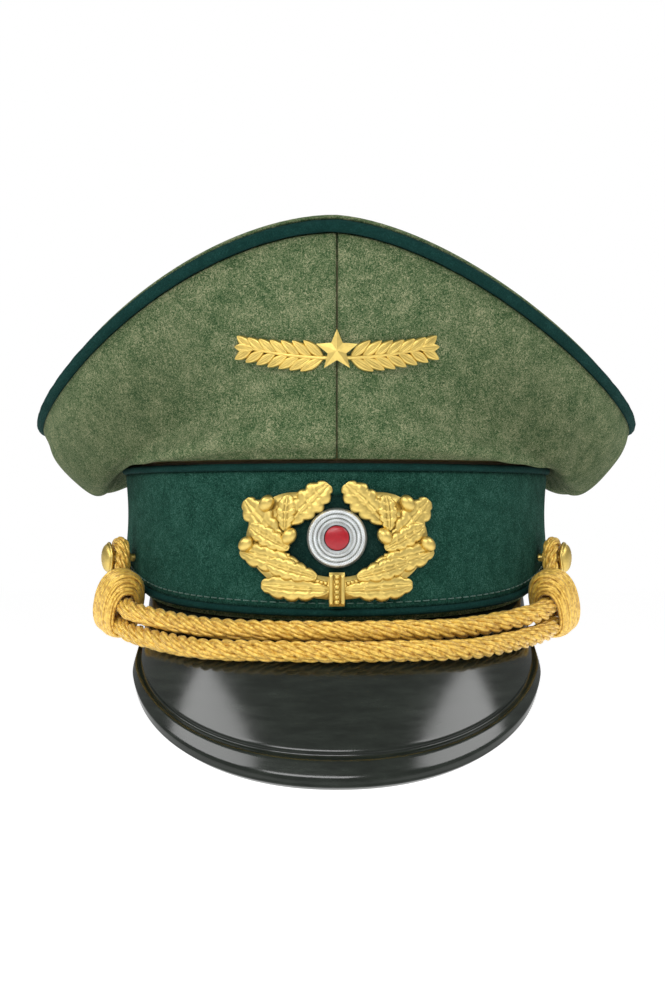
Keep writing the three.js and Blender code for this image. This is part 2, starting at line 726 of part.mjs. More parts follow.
function cockadeRing() {
  const back = METAL_BACK;
  const inner = COCKADE_CENTRE_RADIUS + GAP;
  const profile = [
    [inner, back], [COCKADE_RADIUS, back], [COCKADE_RADIUS, back + 0.8],
    [0.88 * COCKADE_RADIUS, back + 2], [0.78 * COCKADE_RADIUS, back + 1.6],
    [0.63 * COCKADE_RADIUS, back + 2.6], [inner, back + 3], [inner, back],
  ];
  const ring = lathe(profile, 24);
  ring.rotateX(Math.PI);
  return ring.applyMatrix4(bandFrame(0, COCKADE_HEIGHT));
}

function cockadeCentre() {
  const back = METAL_BACK;
  const rim = COCKADE_CENTRE_RADIUS;
  const centre = lathe([[0, back], [rim, back], [rim, back + 2.8], [0.6 * rim, back + 3.6], [0, back + 3.9]], 20);
  centre.rotateX(Math.PI);
  return centre.applyMatrix4(bandFrame(0, COCKADE_HEIGHT));
}

// Two leafy branches that meet in the middle, bent to the front of the crown.
function spray() {
  const outlines = spread(-SPRAY_HALF_WIDTH, SPRAY_HALF_WIDTH, 34).map((x) => {
    const share = Math.abs(x) / SPRAY_HALF_WIDTH;
    const leaf = 0.8 + 0.2 * Math.abs(Math.sin(share * 4.5 * Math.PI));
    const half = SPRAY_HALF_HEIGHT * leaf * (0.62 + 0.38 * share) * Math.sqrt(1 - share ** 6) + 0.4;
    const middle = SPRAY_HEIGHT + 5 * share ** 2;
    const relief = SPRAY_RELIEF * (1 - 0.4 * Math.exp(-((x / STAR_RADIUS) ** 2)));
    const place = (z, out) => onCrown(x, middle + z, GAP + out);
    return [
      place(-half, 0), place(-half, 0.7), place(-half * 0.5, relief * 0.9), place(0, relief),
      place(half * 0.5, relief * 0.9), place(half, 0.7), place(half, 0), place(0, 0),
    ];
  });
  return loft(outlines, false);
}

function crownFrame(x, z) {
  const origin = onCrown(x, z, 0);
  const inwards = origin.clone().sub(onCrown(x, z, 1)).normalize();
  const across = inwards.clone().cross(new THREE.Vector3(0, 0, 1)).normalize();
  const up = across.clone().cross(inwards);
  return new THREE.Matrix4().makeBasis(across, inwards, up).setPosition(origin);
}

// A plain five-pointed boss in front of the spray.
function star() {
  const shape = new THREE.Shape(Array.from({ length: 10 }, (_, i) => {
    const radius = i % 2 === 0 ? STAR_RADIUS : STAR_RADIUS * 0.48;
    const turn = Math.PI / 2 + (i * Math.PI) / 5;
    return new THREE.Vector2(radius * Math.cos(turn), radius * Math.sin(turn));
  }));
  const solid = new THREE.ExtrudeGeometry(shape, { depth: 1.2, bevelEnabled: false });
  solid.rotateX(Math.PI / 2);
  solid.translate(0, -(GAP + SPRAY_RELIEF + GAP), 0);
  return weld(solid).applyMatrix4(crownFrame(0, SPRAY_HEIGHT));
}

// A flat prong that goes through the cloth and folds over behind it.  It starts `from` outside
// the frame's origin and folds at `to` inside it; the fold points towards +X times `side`.
function prong(from, to, side) {
  const half = PRONG_THICKNESS / 2;
  const corners = [
    [[-half, -from], [half, -from]],
    [[-half, to + half], [half, to - half]],
    [[PRONG_FOLD, to + half], [PRONG_FOLD, to - half]],
  ];
  const outlines = corners.map(([a, b]) => [
    new THREE.Vector3(side * a[0], a[1], -PRONG_WIDTH / 2),
    new THREE.Vector3(side * a[0], a[1], PRONG_WIDTH / 2),
    new THREE.Vector3(side * b[0], b[1], PRONG_WIDTH / 2),
    new THREE.Vector3(side * b[0], b[1], -PRONG_WIDTH / 2),
  ]);
  return loft(outlines, false);
}

function prongSlot(frame) {
  const clear = PRONG_THICKNESS / 2 + GAP;
  const reach = 4.6;
  const tall = PRONG_WIDTH / 2 + GAP;
  return box(new THREE.Vector3(-clear, -reach, -tall), new THREE.Vector3(clear, reach, tall))
    .applyMatrix4(frame);
}

function bandProngFrame(x, z) {
  return bandFrame(Math.asin(x / BAND_HALF_WIDTH), z);
}

const BAND_PRONG_FRAMES = [
  bandProngFrame(-WREATH_PRONG, WREATH_HEIGHT),
  bandProngFrame(WREATH_PRONG, WREATH_HEIGHT),
  bandProngFrame(0, COCKADE_HEIGHT),
];
const CROWN_PRONG_FRAMES = [
  crownFrame(-SPRAY_PRONG, SPRAY_HEIGHT + 1),
  crownFrame(SPRAY_PRONG, SPRAY_HEIGHT + 1),
];

function bandProng(frame, side) {
  const behind = -(BASE_FACE - BASE_RING) + 1.5 * GAP + PRONG_THICKNESS;
  return prong(METAL_BACK - GAP, behind, side).applyMatrix4(frame);
}

function crownProng(frame, side) {
  const behind = CROWN_CLOTH + GAP + STIFFENER + 2 * GAP + PRONG_THICKNESS;
  return prong(0, behind, side).applyMatrix4(frame);
}

// ---------------------------------------------------------------- assembly

const cap = new THREE.Group();

function add(name, geometry, paint) {
  const mesh = new THREE.Mesh(geometry, new THREE.MeshStandardMaterial(paint));
  mesh.name = name;
  cap.add(mesh);
}

function addPair(name, geometry, paint) {
  add(`right_${name}`, geometry, paint);
  add(`left_${name}`, mirrored(geometry), paint);
}

function addCrown() {
  const quarter = BAND_STATIONS / 4;
  const [leftSlot, rightSlot] = CROWN_PRONG_FRAMES.map(prongSlot);
  add('crown_top_panel', crownTopPanel(), PAINT.fieldGrey);
  add('crown_front_left_panel', cut(crownWallPanel(-quarter, 0), [leftSlot]), PAINT.fieldGrey);
  add('crown_front_right_panel', cut(crownWallPanel(0, quarter), [rightSlot]), PAINT.fieldGrey);
  add('crown_rear_right_panel', crownWallPanel(quarter, 2 * quarter), PAINT.fieldGrey);
  add('crown_rear_left_panel', crownWallPanel(-2 * quarter, -quarter), PAINT.fieldGrey);
  add('crown_edge_piping', ringCord(crownEdge, CROWN_PIPING_RADIUS, 8), PAINT.pipingGreen);
  add('crown_edge_wire', crownWire(), PAINT.steel);
  add('front_stiffener', cut(frontStiffener(), [leftSlot, rightSlot]), PAINT.board);
}

function addLining() {
  add('lining_top', liningTop(), PAINT.lining);
  add('lining_wall', liningWall(), PAINT.lining);
  add('sweat_shield', sweatShield(), PAINT.celluloid);
}

function addBand() {
  const holes = [...BAND_PRONG_FRAMES.map(prongSlot), ...shankHoles()];
  add('band_cloth', cut(bandCloth(), holes), PAINT.bottleGreen);
  add('band_underlay', cut(bandUnderlay(), holes), PAINT.fieldGrey);
  add('band_base_ring', cut(bandBaseRing(), holes), PAINT.board);
  add('sweatband', sweatband(), PAINT.leather);
  add('upper_band_piping', bandPiping(() => BAND_TOP), PAINT.pipingGreen);
  add('lower_band_piping', bandPiping(lowerPiping), PAINT.pipingGreen);
  add('visor', visor(), PAINT.fibre);
}

function addChinCord() {
  add('chin_cord_upper', strand(0), PAINT.goldCord);
  add('chin_cord_lower', strand(1), PAINT.goldCord);
  addPair('cord_loop', cordLoop(), PAINT.goldCord);
  addPair('knot', slideKnot(), PAINT.goldCord);
  addPair('side_button', buttonHead(), PAINT.gilt);
  addPair('button_shank', buttonShank(), PAINT.gilt);
}

function addBadges() {
  add('wreath', wreath(), PAINT.gilt);
  add('wreath_backing', cut(wreathBacking(), BAND_PRONG_FRAMES.map(prongSlot)), PAINT.darkCloth);
  add('wreath_left_prong', bandProng(BAND_PRONG_FRAMES[0], -1), PAINT.gilt);
  add('wreath_right_prong', bandProng(BAND_PRONG_FRAMES[1], 1), PAINT.gilt);
  add('cockade_ring', cockadeRing(), PAINT.silver);
  add('cockade_centre', cockadeCentre(), PAINT.redEnamel);
  add('cockade_prong', bandProng(BAND_PRONG_FRAMES[2], 1), PAINT.silver);
  add('crown_badge_spray', spray(), PAINT.gilt);
  add('crown_badge_star', star(), PAINT.gilt);
  add('crown_badge_left_prong', crownProng(CROWN_PRONG_FRAMES[0], -1), PAINT.gilt);
  add('crown_badge_right_prong', crownProng(CROWN_PRONG_FRAMES[1], 1), PAINT.gilt);
}

addCrown();
addLining();
addBand();
addChinCord();
addBadges();

export default cap;
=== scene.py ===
"""Peaked cap: the visual model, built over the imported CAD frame.

Shapes are worked out in millimetres in the CAD's own frame (front -Y, up +Z) and stored in metres.
Angles round the cap are 0 at the front and grow towards +X.
"""

import math

import bmesh
import bpy
import numpy as np
from mathutils import Matrix, Vector


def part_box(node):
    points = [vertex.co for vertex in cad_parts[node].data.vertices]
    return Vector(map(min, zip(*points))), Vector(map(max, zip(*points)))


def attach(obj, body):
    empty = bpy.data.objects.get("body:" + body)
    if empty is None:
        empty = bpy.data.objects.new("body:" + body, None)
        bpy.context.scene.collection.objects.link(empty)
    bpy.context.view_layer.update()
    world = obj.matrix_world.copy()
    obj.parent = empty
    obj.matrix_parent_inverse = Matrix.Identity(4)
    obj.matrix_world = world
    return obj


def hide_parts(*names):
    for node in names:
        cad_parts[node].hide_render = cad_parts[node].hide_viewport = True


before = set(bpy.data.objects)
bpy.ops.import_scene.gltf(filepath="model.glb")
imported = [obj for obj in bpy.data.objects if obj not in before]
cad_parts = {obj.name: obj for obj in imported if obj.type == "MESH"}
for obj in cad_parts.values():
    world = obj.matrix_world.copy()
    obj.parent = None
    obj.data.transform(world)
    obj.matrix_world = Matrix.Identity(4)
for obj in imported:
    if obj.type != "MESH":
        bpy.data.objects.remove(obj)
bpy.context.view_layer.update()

MM = 0.001


def span(node):
    """Lowest and highest corner of a CAD node, in millimetres."""
    low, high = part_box(node)
    return np.array(low) / MM, np.array(high) / MM


# ---- sizes, the same as the CAD's

BAND_HIGH = span("band_cloth")[1]
BAND_A = BAND_HIGH[0]  # half width of the band
BAND_B = BAND_HIGH[1]  # half length of the band
PIPING_LOW, PIPING_HIGH = span("upper_band_piping")
BAND_TOP = (PIPING_LOW[2] + PIPING_HIGH[2]) / 2
PIPING_R = PIPING_HIGH[0] - BAND_A
EDGE_LOW, EDGE_HIGH = span("crown_edge_piping")
EDGE_R = 2.1  # radius of the piping on the crown's edge
EDGE_GAP = 0.3  # between that piping and the cloth next to it
CROWN_A = EDGE_HIGH[0] - EDGE_R
CROWN_Y = (EDGE_LOW[1] + EDGE_HIGH[1]) / 2
CROWN_B = (EDGE_HIGH[1] - EDGE_LOW[1]) / 2 - EDGE_R
CROWN_FRONT = 125.0  # heights of the crown's edge, and of the middle of its top
CROWN_SIDE = 62.0
CROWN_BACK = 80.0
CROWN_CENTRE = 80.0
CROWN_FALL = (1.67, 2.0)  # powers of the curves down from the front and the back
CROWN_LEAN = 0.05  # worn shape: the peak of the front stands a little to one side
CLOTH = 1.2  # thickness of the crown's wool
SEAM_Z = BAND_TOP + 2.6
SHOULDER = 4.2  # how far the top rises just inside its edge, and over what run
SHOULDER_RUN = 2.0
FLAT_FROM, FLAT_TO = 90, 117  # insets over which the top turns level at its middle
INSET_MOST = 118
VISOR_TURN = math.radians(60)  # half of the arc of band that the visor covers
VISOR_SPREAD = math.radians(100)  # half of the arc of its outer edge
VISOR_RADIUS = 73
VISOR_CENTRE_Y = -66
VISOR_EDGE_Z = -58
VISOR_CURL = 34  # how far the ends of the outer edge rise
VISOR_BULGE = 16
VISOR_INSET = 4.5
VISOR_RISE = 0.7
VISOR_THICKNESS = 1.8
FLANGE_HEIGHT = 12
CORD_R = 3.75
STRAND_PITCH = 2 * CORD_R + 0.3  # between the two strands in the knots
STRAND_SPREAD = 1.4  # how much further apart they lie on the visor
CORD_SEAT = 11.0  # how far down the visor the upper strand lies
CORD_DROOP = 1.2
DROOP_ANGLE = math.radians(30)
LOOP_R = 3.0
KNOT_ANGLE = math.radians(57)
KNOT_OUT = 10.5
KNOT_Z = -7.1
KNOT_TILT = math.radians(12)
KNOT_HALF = (7.0, 8.5, 13.2)  # half sizes along the cord, out from the band, and up
KNOT_RAISED = 3.4
BUTTON_ANGLE = math.radians(66)
BUTTON_Z = 12.0
BUTTON_BACK = 8.6  # from the band to the back of the button
SHANK_R = 1.5
WREATH_Z = 20.2
WREATH_A = 33.0
WREATH_B = 22.2
COCKADE_Z = 20.9
COCKADE_R = 10.2
COCKADE_CENTRE_R = 4.1
SPRAY_Z = 84.0
METAL_BACK = 1.85  # from the band to the back of its badges


# ---- meshes

LOOK = "_look"  # ends the name of every piece that is made here


def mesh_object(name, vertices, faces, material, smooth=True):
    """A mesh from points in millimetres."""
    name += LOOK
    mesh = bpy.data.meshes.new(name)
    mesh.from_pydata((np.asarray(vertices) * MM).tolist(), [], faces)
    mesh.validate()
    piece = bpy.data.objects.new(name, mesh)
    bpy.context.scene.collection.objects.link(piece)
    mesh.materials.append(material)
    mesh.polygons.foreach_set("use_smooth", [smooth] * len(mesh.polygons))
    outward(mesh)
    return piece


def outward(mesh):
    """Turns every face to point out."""
    work = bmesh.new()
    work.from_mesh(mesh)
    bmesh.ops.recalc_face_normals(work, faces=work.faces)
    work.to_mesh(mesh)
    work.free()


def loft_parts(rings, along=False, caps=True):
    """Vertices and faces of equal closed rings joined in turn; along joins the last to the first."""
    rings = np.asarray(rings, dtype=float)
    count, size = rings.shape[:2]
    faces = []
    for i in range(count if along else count - 1):
        a, b = i * size, ((i + 1) % count) * size
        for j in range(size):
            k = (j + 1) % size
            faces.append((a + j, a + k, b + k, b + j))
    if caps and not along:
        faces.append(tuple(range(size))[::-1])
        faces.append(tuple(range((count - 1) * size, count * size)))
    return rings.reshape(-1, 3), faces


def joined(name, parts, material, smooth=True):
    """One object from many (vertices, faces) parts."""
    vertices, faces, base = [], [], 0
    for points, polygons in parts:
        vertices.append(np.asarray(points))
        faces.extend(tuple(i + base for i in polygon) for polygon in polygons)
        base += len(points)
    return mesh_object(name, np.concatenate(vertices), faces, material, smooth)


def skin(name, at, thickness, us, vs, material, closed=False):
    """A closed sheet over the grid us x vs; at(u, v, depth) is the point that far below its outer face."""
    u, v = np.meshgrid(us, vs, indexing="ij")
    outer, inner = at(u, v, 0 * v), at(u, v, thickness + 0 * v)
    rings = np.concatenate([outer, inner[:, ::-1]], axis=1)
    count, size = rings.shape[:2]
    vertices, faces = loft_parts(rings, along=closed, caps=False)
    if not closed:
        faces += end_strip(0, size, -1)
        faces += end_strip((count - 1) * size, size, 1)
    return mesh_object(name, vertices, faces, material)


def end_strip(base, size, order):
    """The narrow faces across a sheet's thickness at one end of its grid."""
    strip = []
    for j in range(size // 2 - 1):
        across = size - 1 - j
        strip.append(tuple(base + k for k in (j, j + 1, across - 1, across))[::order])
    return strip


def normals(surface, u, v, step=1e-3):
    """Unit normals of surface(u, v), which point into the cap."""
    across = surface(u + step, v) - surface(u - step, v)
    along = surface(u, v + step) - surface(u, v - step)
    normal = np.cross(across, along)
    return normal / np.linalg.norm(normal, axis=-1, keepdims=True)


def lerp(a, b, t):
    """The value a share t of the way from a to b."""
    return a + (b - a) * t


def smoothstep(x, low, high):
    """Rises smoothly from 0 at low to 1 at high."""
    t = np.clip((x - low) / (high - low), 0, 1)
    return t * t * (3 - 2 * t)


def stack(x, y, z):
    """Points from their three coordinates, numbers or arrays."""
    return np.stack(np.broadcast_arrays(x, y, z), axis=-1)


def tube_parts(path, radius, sides=8, closed=False):
    """A tube along a list of points, with a frame carried along the path."""
    path = np.asarray(path, dtype=float)
    ahead = np.roll(path, -1, axis=0) - np.roll(path, 1, axis=0)
    if not closed:
        ahead[0], ahead[-1] = path[1] - path[0], path[-1] - path[-2]
    ahead /= np.linalg.norm(ahead, axis=1, keepdims=True)
    side = carried_sides(ahead)
    up = np.cross(ahead, side)
    turns = np.arange(sides) * 2 * np.pi / sides
    radius = np.broadcast_to(np.asarray(radius, dtype=float), (len(path),))
    rings = (path[:, None] + radius[:, None, None] * (
        side[:, None] * np.cos(turns)[None, :, None] + up[:, None] * np.sin(turns)[None, :, None]))
    return loft_parts(rings, along=closed)


def carried_sides(ahead):
    """A side direction for each tangent, turning as little as it can."""
    sides = np.zeros_like(ahead)
    start = np.cross(ahead[0], (0.0, 0.0, 1.0))
    if np.linalg.norm(start) < 1e-3:
        start = np.cross(ahead[0], (1.0, 0.0, 0.0))
    sides[0] = start / np.linalg.norm(start)
    for i in range(1, len(ahead)):
        side = sides[i - 1] - ahead[i] * np.dot(sides[i - 1], ahead[i])
        sides[i] = side / np.linalg.norm(side)
    return sides


def run_along(path):
    """How far along a line each of its points lies."""
    return np.concatenate([[0], np.cumsum(np.linalg.norm(np.diff(path, axis=0), axis=1))])


def between(t, low, high, a, b):
    """The value at t on the straight line that is a at low and b at high."""
    return (high - t) / (high - low) * a + (t - low) / (high - low) * b


def smooth_path(points, step):
    """A centripetal Catmull-Rom line through the points, sampled every `step` millimetres."""
    points = np.asarray(points, dtype=float)
    ends = np.vstack([2 * points[0] - points[1], points, 2 * points[-1] - points[-2]])
    knots = np.concatenate([[0], np.cumsum(np.linalg.norm(np.diff(ends, axis=0), axis=1) ** 0.5)])
    dense = []
    for i in range(1, len(ends) - 2):
        p0, p1, p2, p3 = ends[i - 1:i + 3]
        t0, t1, t2, t3 = knots[i - 1:i + 3]
        t = np.linspace(t1, t2, 60, endpoint=False)[:, None]
        a1, a2, a3 = between(t, t0, t1, p0, p1), between(t, t1, t2, p1, p2), between(t, t2, t3, p2, p3)
        b1, b2 = between(t, t0, t2, a1, a2), between(t, t1, t3, a2, a3)
        dense.append(between(t, t1, t2, b1, b2))
    dense = np.vstack(dense + [points[-1:]])
    run = run_along(dense)
    wanted = np.linspace(0, run[-1], max(2, int(run[-1] / step)))
    return np.stack([np.interp(wanted, run, dense[:, k]) for k in range(3)], axis=1)


# ---- surfaces of the cap

def band_point(angle, out, z):
    """A point `out` millimetres off the band's outer face; angle 0 is the front."""
    x, y = BAND_A * np.sin(angle), -BAND_B * np.cos(angle)
    nx, ny = x / BAND_A ** 2, y / BAND_B ** 2
    size = np.hypot(nx, ny)
    return stack(x + nx / size * out, y + ny / size * out, z)


def lower_piping(angle):
    """Height of the lower piping: it dips at the front and rises over the ears."""
    return 3.0 - 7.7 * np.maximum(0, np.cos(angle)) + 11.0 * np.sin(angle) ** 10


def lower_edge(angle):
    """Height of the cap's lower edge, under the lower piping."""
    return lower_piping(angle) - 3.0


def crown_edge(angle):
    """The centre line of the piping round the crown's edge."""
    front = np.cos(angle) > 0
    end = np.where(front, CROWN_FRONT, CROWN_BACK)
    height = end - (end - CROWN_SIDE) * np.abs(np.sin(angle)) ** np.where(front, *CROWN_FALL)
    x = CROWN_A * np.sin(angle)
    lean = CROWN_LEAN * x * np.maximum(0, np.cos(angle)) ** 2
    return stack(x, CROWN_Y - CROWN_B * np.cos(angle), height - lean)


# the wall from seam to edge: share of the way out, and how far the cloth hangs below the straight line
FRONT_WALL = ((0.05, 0), (0.28, 4.1), (0.40, 4.6), (0.49, 3.6), (0.61, 2.1), (0.78, 0.5), (0.965, 0))
SIDE_WALL = ((0.03, 0), (0.11, 7), (0.23, 14.2), (0.41, 17.6), (0.65, 14.4), (0.88, 7.4), (0.989, 0))
BACK_WALL = ((0.017, 0), (0.225, 2.8), (0.437, 3.9), (0.62, 3.6), (0.775, 2.8), (0.9, 1.4), (0.989, 0))
WALL_CELLS = len(FRONT_WALL) - 1
SIDE_REACH = 2.5  # how soon the wall at the side gives way to the front and back


def wall_controls(angle):
    """The seven points that the wall's curve passes through at each angle, and one beyond each end."""
    edge = crown_edge(angle)
    edge[..., 2] -= EDGE_R + EDGE_GAP
    seam = band_point(angle, 0, SEAM_Z)
    side = np.abs(np.sin(angle)) ** SIDE_REACH
    front = np.cos(angle) > 0
    controls = []
    for k, (ahead, beside, behind) in enumerate(zip(FRONT_WALL, SIDE_WALL, BACK_WALL)):
        share, hang = (lerp(np.where(front, ahead[i], behind[i]), beside[i], side) for i in (0, 1))
        point = lerp(seam, edge, share[..., None])
        point[..., 2] = lerp(seam[..., 2], edge[..., 2], k / WALL_CELLS) - hang
        controls.append(point)
    return np.stack([2 * controls[0] - controls[1], *controls, 2 * controls[-1] - controls[-2]])


def crown_wall(angle, v):
    """The wall cloth from the band seam, v 0, to the edge, v 1, over 2-D grids of angle and v."""
    controls = wall_controls(angle)
    along = np.clip(v, -0.1, 1.1) * WALL_CELLS
    cell = np.clip(np.floor(along).astype(int), 0, WALL_CELLS - 1)
    t = (along - cell)[..., None]
    rows, columns = np.indices(cell.shape)
    p0, p1, p2, p3 = (controls[cell + k, rows, columns] for k in range(4))
    return 0.5 * (2 * p1 + (p2 - p0) * t + (2 * p0 - 5 * p1 + 4 * p2 - p3) * t ** 2
                  + (3 * p1 - p0 - 3 * p2 + p3) * t ** 3)


def saddle(x, y):
    """Height of the crown's top, which runs smoothly between the heights of its edge."""
    across, forward = x / CROWN_A, (CROWN_Y - y) / CROWN_B
    share, angle = np.hypot(across, forward), np.arctan2(across, forward)
    here, opposite = crown_edge(angle)[..., 2], crown_edge(np.pi - angle)[..., 2]
    even, odd = (here + opposite) / 2, (here - opposite) / 2
    return CROWN_CENTRE * (1 - share ** 2) + even * share ** 2 + odd * share


def crown_top(angle, inset):
    """The top cloth at an inset from the crown's edge."""
    edge = crown_edge(angle)
    reach = np.hypot(edge[..., 0], edge[..., 1] - CROWN_Y)
    share = np.clip(inset / reach, 0, 1)
    x, y = edge[..., 0] * (1 - share), lerp(edge[..., 1], CROWN_Y, share)
    return stack(x, y, saddle(x, y) + EDGE_R + EDGE_GAP + SHOULDER * (1 - np.exp(-inset / SHOULDER_RUN)))


def visor_root(u):
    """Where the visor leaves the band; u runs from -1 to 1 across it."""
    angle = u * VISOR_TURN
    return band_point(angle, -VISOR_INSET, lower_edge(angle) + VISOR_RISE)


def visor_face(u, v):
    """The upper face of the visor from its root, v 0, to its outer edge, v 1."""
    root = visor_root(u)
    turn = u * VISOR_SPREAD
    rise = VISOR_CURL * np.maximum(0, 1 - np.cos(turn)) ** 1.1
    edge_y = VISOR_CENTRE_Y - VISOR_RADIUS * np.cos(turn)
    edge = stack(VISOR_RADIUS * np.sin(turn), edge_y, rise + VISOR_EDGE_Z)
    edge = lerp(edge, root, smoothstep(np.abs(u), 0.8, 1.2)[..., None])
    point = lerp(root, edge, v[..., None])
    point[..., 2] += VISOR_BULGE * v * (1 - v) * np.cos(turn / 2)
    return point


def knot_matrix(side):
    """The knot's own frame: X back along the cord, -Y out, Z up.  side is 1 right, -1 left."""
    return frame_on_band(KNOT_ANGLE, KNOT_OUT, KNOT_Z, side) @ Matrix.Rotation(-KNOT_TILT, 4, "Y")


def frame_on_band(angle, out, z, side=1):
    """A frame on the band: X back along it, -Y out, Z up; side -1 mirrors it to the left."""
    here = band_point(np.float64(angle), out, z)
    ahead = band_point(np.float64(angle), out + 1, z) - here
    around = (-ahead[1], ahead[0], 0)
    matrix = Matrix((
        (around[0], -ahead[0], 0, here[0]),
        (around[1], -ahead[1], 0, here[1]),
        (0, 0, 1, here[2]),
        (0, 0, 0, 1),
    ))
    return matrix if side > 0 else Matrix.Diagonal((-1, 1, 1, 1)) @ matrix


def through(matrix, points):
    """Carries points through a matrix."""
    points = np.asarray(points, dtype=float)
    return points @ np.array(matrix.to_3x3()).T + np.array(matrix.translation)


# ---- materials

def new_material(name):
    """A material with its node tree and its shader."""
    material = bpy.data.materials.new(name)
    material.use_nodes = True
    tree = material.node_tree
    return material, tree, tree.nodes["Principled BSDF"]


def settings(shader, **values):
    """Sets inputs of a shader, named with _ for each space."""
    for name, value in values.items():
        shader.inputs[name.replace("_", " ")].default_value = value


def object_place(tree, scale=(1, 1, 1), turn=(0, 0, 0)):
    """The piece's own coordinates, in metres, scaled and turned."""
    source = tree.nodes.new("ShaderNodeTexCoord")
    mapping = tree.nodes.new("ShaderNodeMapping")
    mapping.inputs["Scale"].default_value = scale
    mapping.inputs["Rotation"].default_value = turn
    tree.links.new(source.outputs["Object"], mapping.inputs["Vector"])
    return mapping.outputs["Vector"]


def noise(tree, vector, scale, detail=2.0, roughness=0.5, distortion=0.0):
    made = tree.nodes.new("ShaderNodeTexNoise")
    made.inputs["Scale"].default_value = scale
    made.inputs["Detail"].default_value = detail
    made.inputs["Roughness"].default_value = roughness
    made.inputs["Distortion"].default_value = distortion
    tree.links.new(vector, made.inputs["Vector"])
    return made.outputs["Fac"]


def ramp(tree, factor, stops):
    made = tree.nodes.new("ShaderNodeValToRGB")
    elements = made.color_ramp.elements
    while len(elements) < len(stops):
        elements.new(0.5)
    for element, (position, colour) in zip(elements, stops):
        element.position = position
        element.color = (*colour, 1)
    tree.links.new(factor, made.inputs["Fac"])
    return made.outputs["Color"]


def mix_colours(tree, factor, a, b, kind="MIX"):
    made = tree.nodes.new("ShaderNodeMix")
    made.data_type = "RGBA"
    made.blend_type = kind
    made.inputs["Factor"].default_value = factor
    tree.links.new(a, made.inputs["A"])
    tree.links.new(b, made.inputs["B"])
    return made.outputs["Result"]


def bump(tree, shader, height, strength, distance):
    made = tree.nodes.new("ShaderNodeBump")
    made.inputs["Strength"].default_value = strength
    made.inputs["Distance"].default_value = distance
    tree.links.new(height, made.inputs["Height"])
    tree.links.new(made.outputs["Normal"], shader.inputs["Normal"])


# painted shade: the wool's colour is multiplied towards this where the mesh's "fold" value is 1
PAINTED_FOLD_SHADE = (0.50, 0.52, 0.48)  # what a full "fold" value on the mesh does to the colour


def wool(name, dark, middle, pale, spread, sheen=0.12, cloud=0.15):
    """Felted wool: fine tangled fibres of three shades, soft patches, a raised nap, and painted shade where
    the mesh holds a "fold" value.
    """
    material, tree, shader = new_material(name)
    fine = noise(tree, object_place(tree), scale=1150, detail=4.0, roughness=0.65, distortion=3.0)
    turned = object_place(tree, turn=(0.7, 0.3, 1.1))
    coarse = noise(tree, turned, scale=480, detail=3.0, roughness=0.6, distortion=4.0)
    clouds = noise(tree, object_place(tree), scale=150, detail=5.0, roughness=0.6)
    fibres = mix_colours(tree, 0.38, fine, coarse)
    tangled = mix_colours(tree, cloud, fibres, clouds)
    colour = ramp(tree, tangled, ((0.5 - spread, dark), (0.5, middle), (0.5 + spread, pale)))
    # painted shade of the folds, read from the mesh's "fold" value
    fold = tree.nodes.new("ShaderNodeAttribute")
    fold.attribute_name = "fold"
    shade = ramp(tree, fold.outputs["Fac"], ((0.0, (1, 1, 1)), (1.0, PAINTED_FOLD_SHADE)))
    tree.links.new(mix_colours(tree, 1.0, colour, shade, "MULTIPLY"), shader.inputs["Base Color"])
    settings(shader, Roughness=0.95, Specular_IOR_Level=0.1, Sheen_Weight=sheen, Sheen_Roughness=0.5,
             Sheen_Tint=(*pale, 1))
    bump(tree, shader, tangled, strength=0.8, distance=0.0012)
    return material


def metal(name, colour, roughness, darken):
    """Struck metal: painted shade darkens its hollows, and its rubbed edges are brighter."""
    material, tree, shader = new_material(name)
    patches = noise(tree, object_place(tree), scale=260, detail=4.0, roughness=0.6)
    shade = ramp(tree, patches, ((0.3, tuple(c * darken for c in colour)), (0.62, colour)))
    # painted shade in the hollows, found from the mesh's pointiness; the brighter edges are rubbed gilt
    shape = tree.nodes.new("ShaderNodeNewGeometry").outputs["Pointiness"]
    hollow, flat, edge = (0.42, 0.38, 0.30), (0.92, 0.91, 0.88), (1.0, 1.0, 1.0)
    hollow_shade_and_wear = ramp(tree, shape, ((0.42, hollow), (0.49, flat), (0.56, edge)))
    tree.links.new(mix_colours(tree, 1.0, shade, hollow_shade_and_wear, "MULTIPLY"), shader.inputs["Base Color"])
    settings(shader, Metallic=1.0, Roughness=roughness)
    grain = noise(tree, object_place(tree), scale=900, detail=3.0)
    bump(tree, shader, grain, strength=0.25, distance=0.0002)
    return material


def thread(name, colour, dark):
    """Silky wound thread."""
    material, tree, shader = new_material(name)
    patches = noise(tree, object_place(tree), scale=700, detail=3.0)
    tree.links.new(ramp(tree, patches, ((0.35, dark), (0.6, colour))), shader.inputs["Base Color"])
    settings(shader, Roughness=0.36, Specular_IOR_Level=0.8, Metallic=0.25, Sheen_Weight=0.15)
    strands = noise(tree, object_place(tree), scale=2600, detail=2.0)
    bump(tree, shader, strands, strength=0.35, distance=0.0002)
    return material


def lacquer(name, colour):
    """Polished fibre board: near black, with a worn haze and slight waves."""
    material, tree, shader = new_material(name)
    streaked = object_place(tree, scale=(1, 1, 6), turn=(0.3, 0.1, 0.8))
    haze = noise(tree, streaked, scale=60, detail=6.0, roughness=0.7)
    worn = tuple(c * 1.9 + 0.004 for c in colour)
    tree.links.new(ramp(tree, haze, ((0.4, colour), (0.75, worn))), shader.inputs["Base Color"])
    rough = tree.nodes.new("ShaderNodeMapRange")
    rough.inputs["To Min"].default_value = 0.09
    rough.inputs["To Max"].default_value = 0.24
    tree.links.new(haze, rough.inputs["Value"])
    tree.links.new(rough.outputs["Result"], shader.inputs["Roughness"])
    settings(shader, Specular_IOR_Level=0.55)
    waves = noise(tree, object_place(tree), scale=35, detail=3.0)
    bump(tree, shader, waves, strength=0.12, distance=0.0008)
    return material


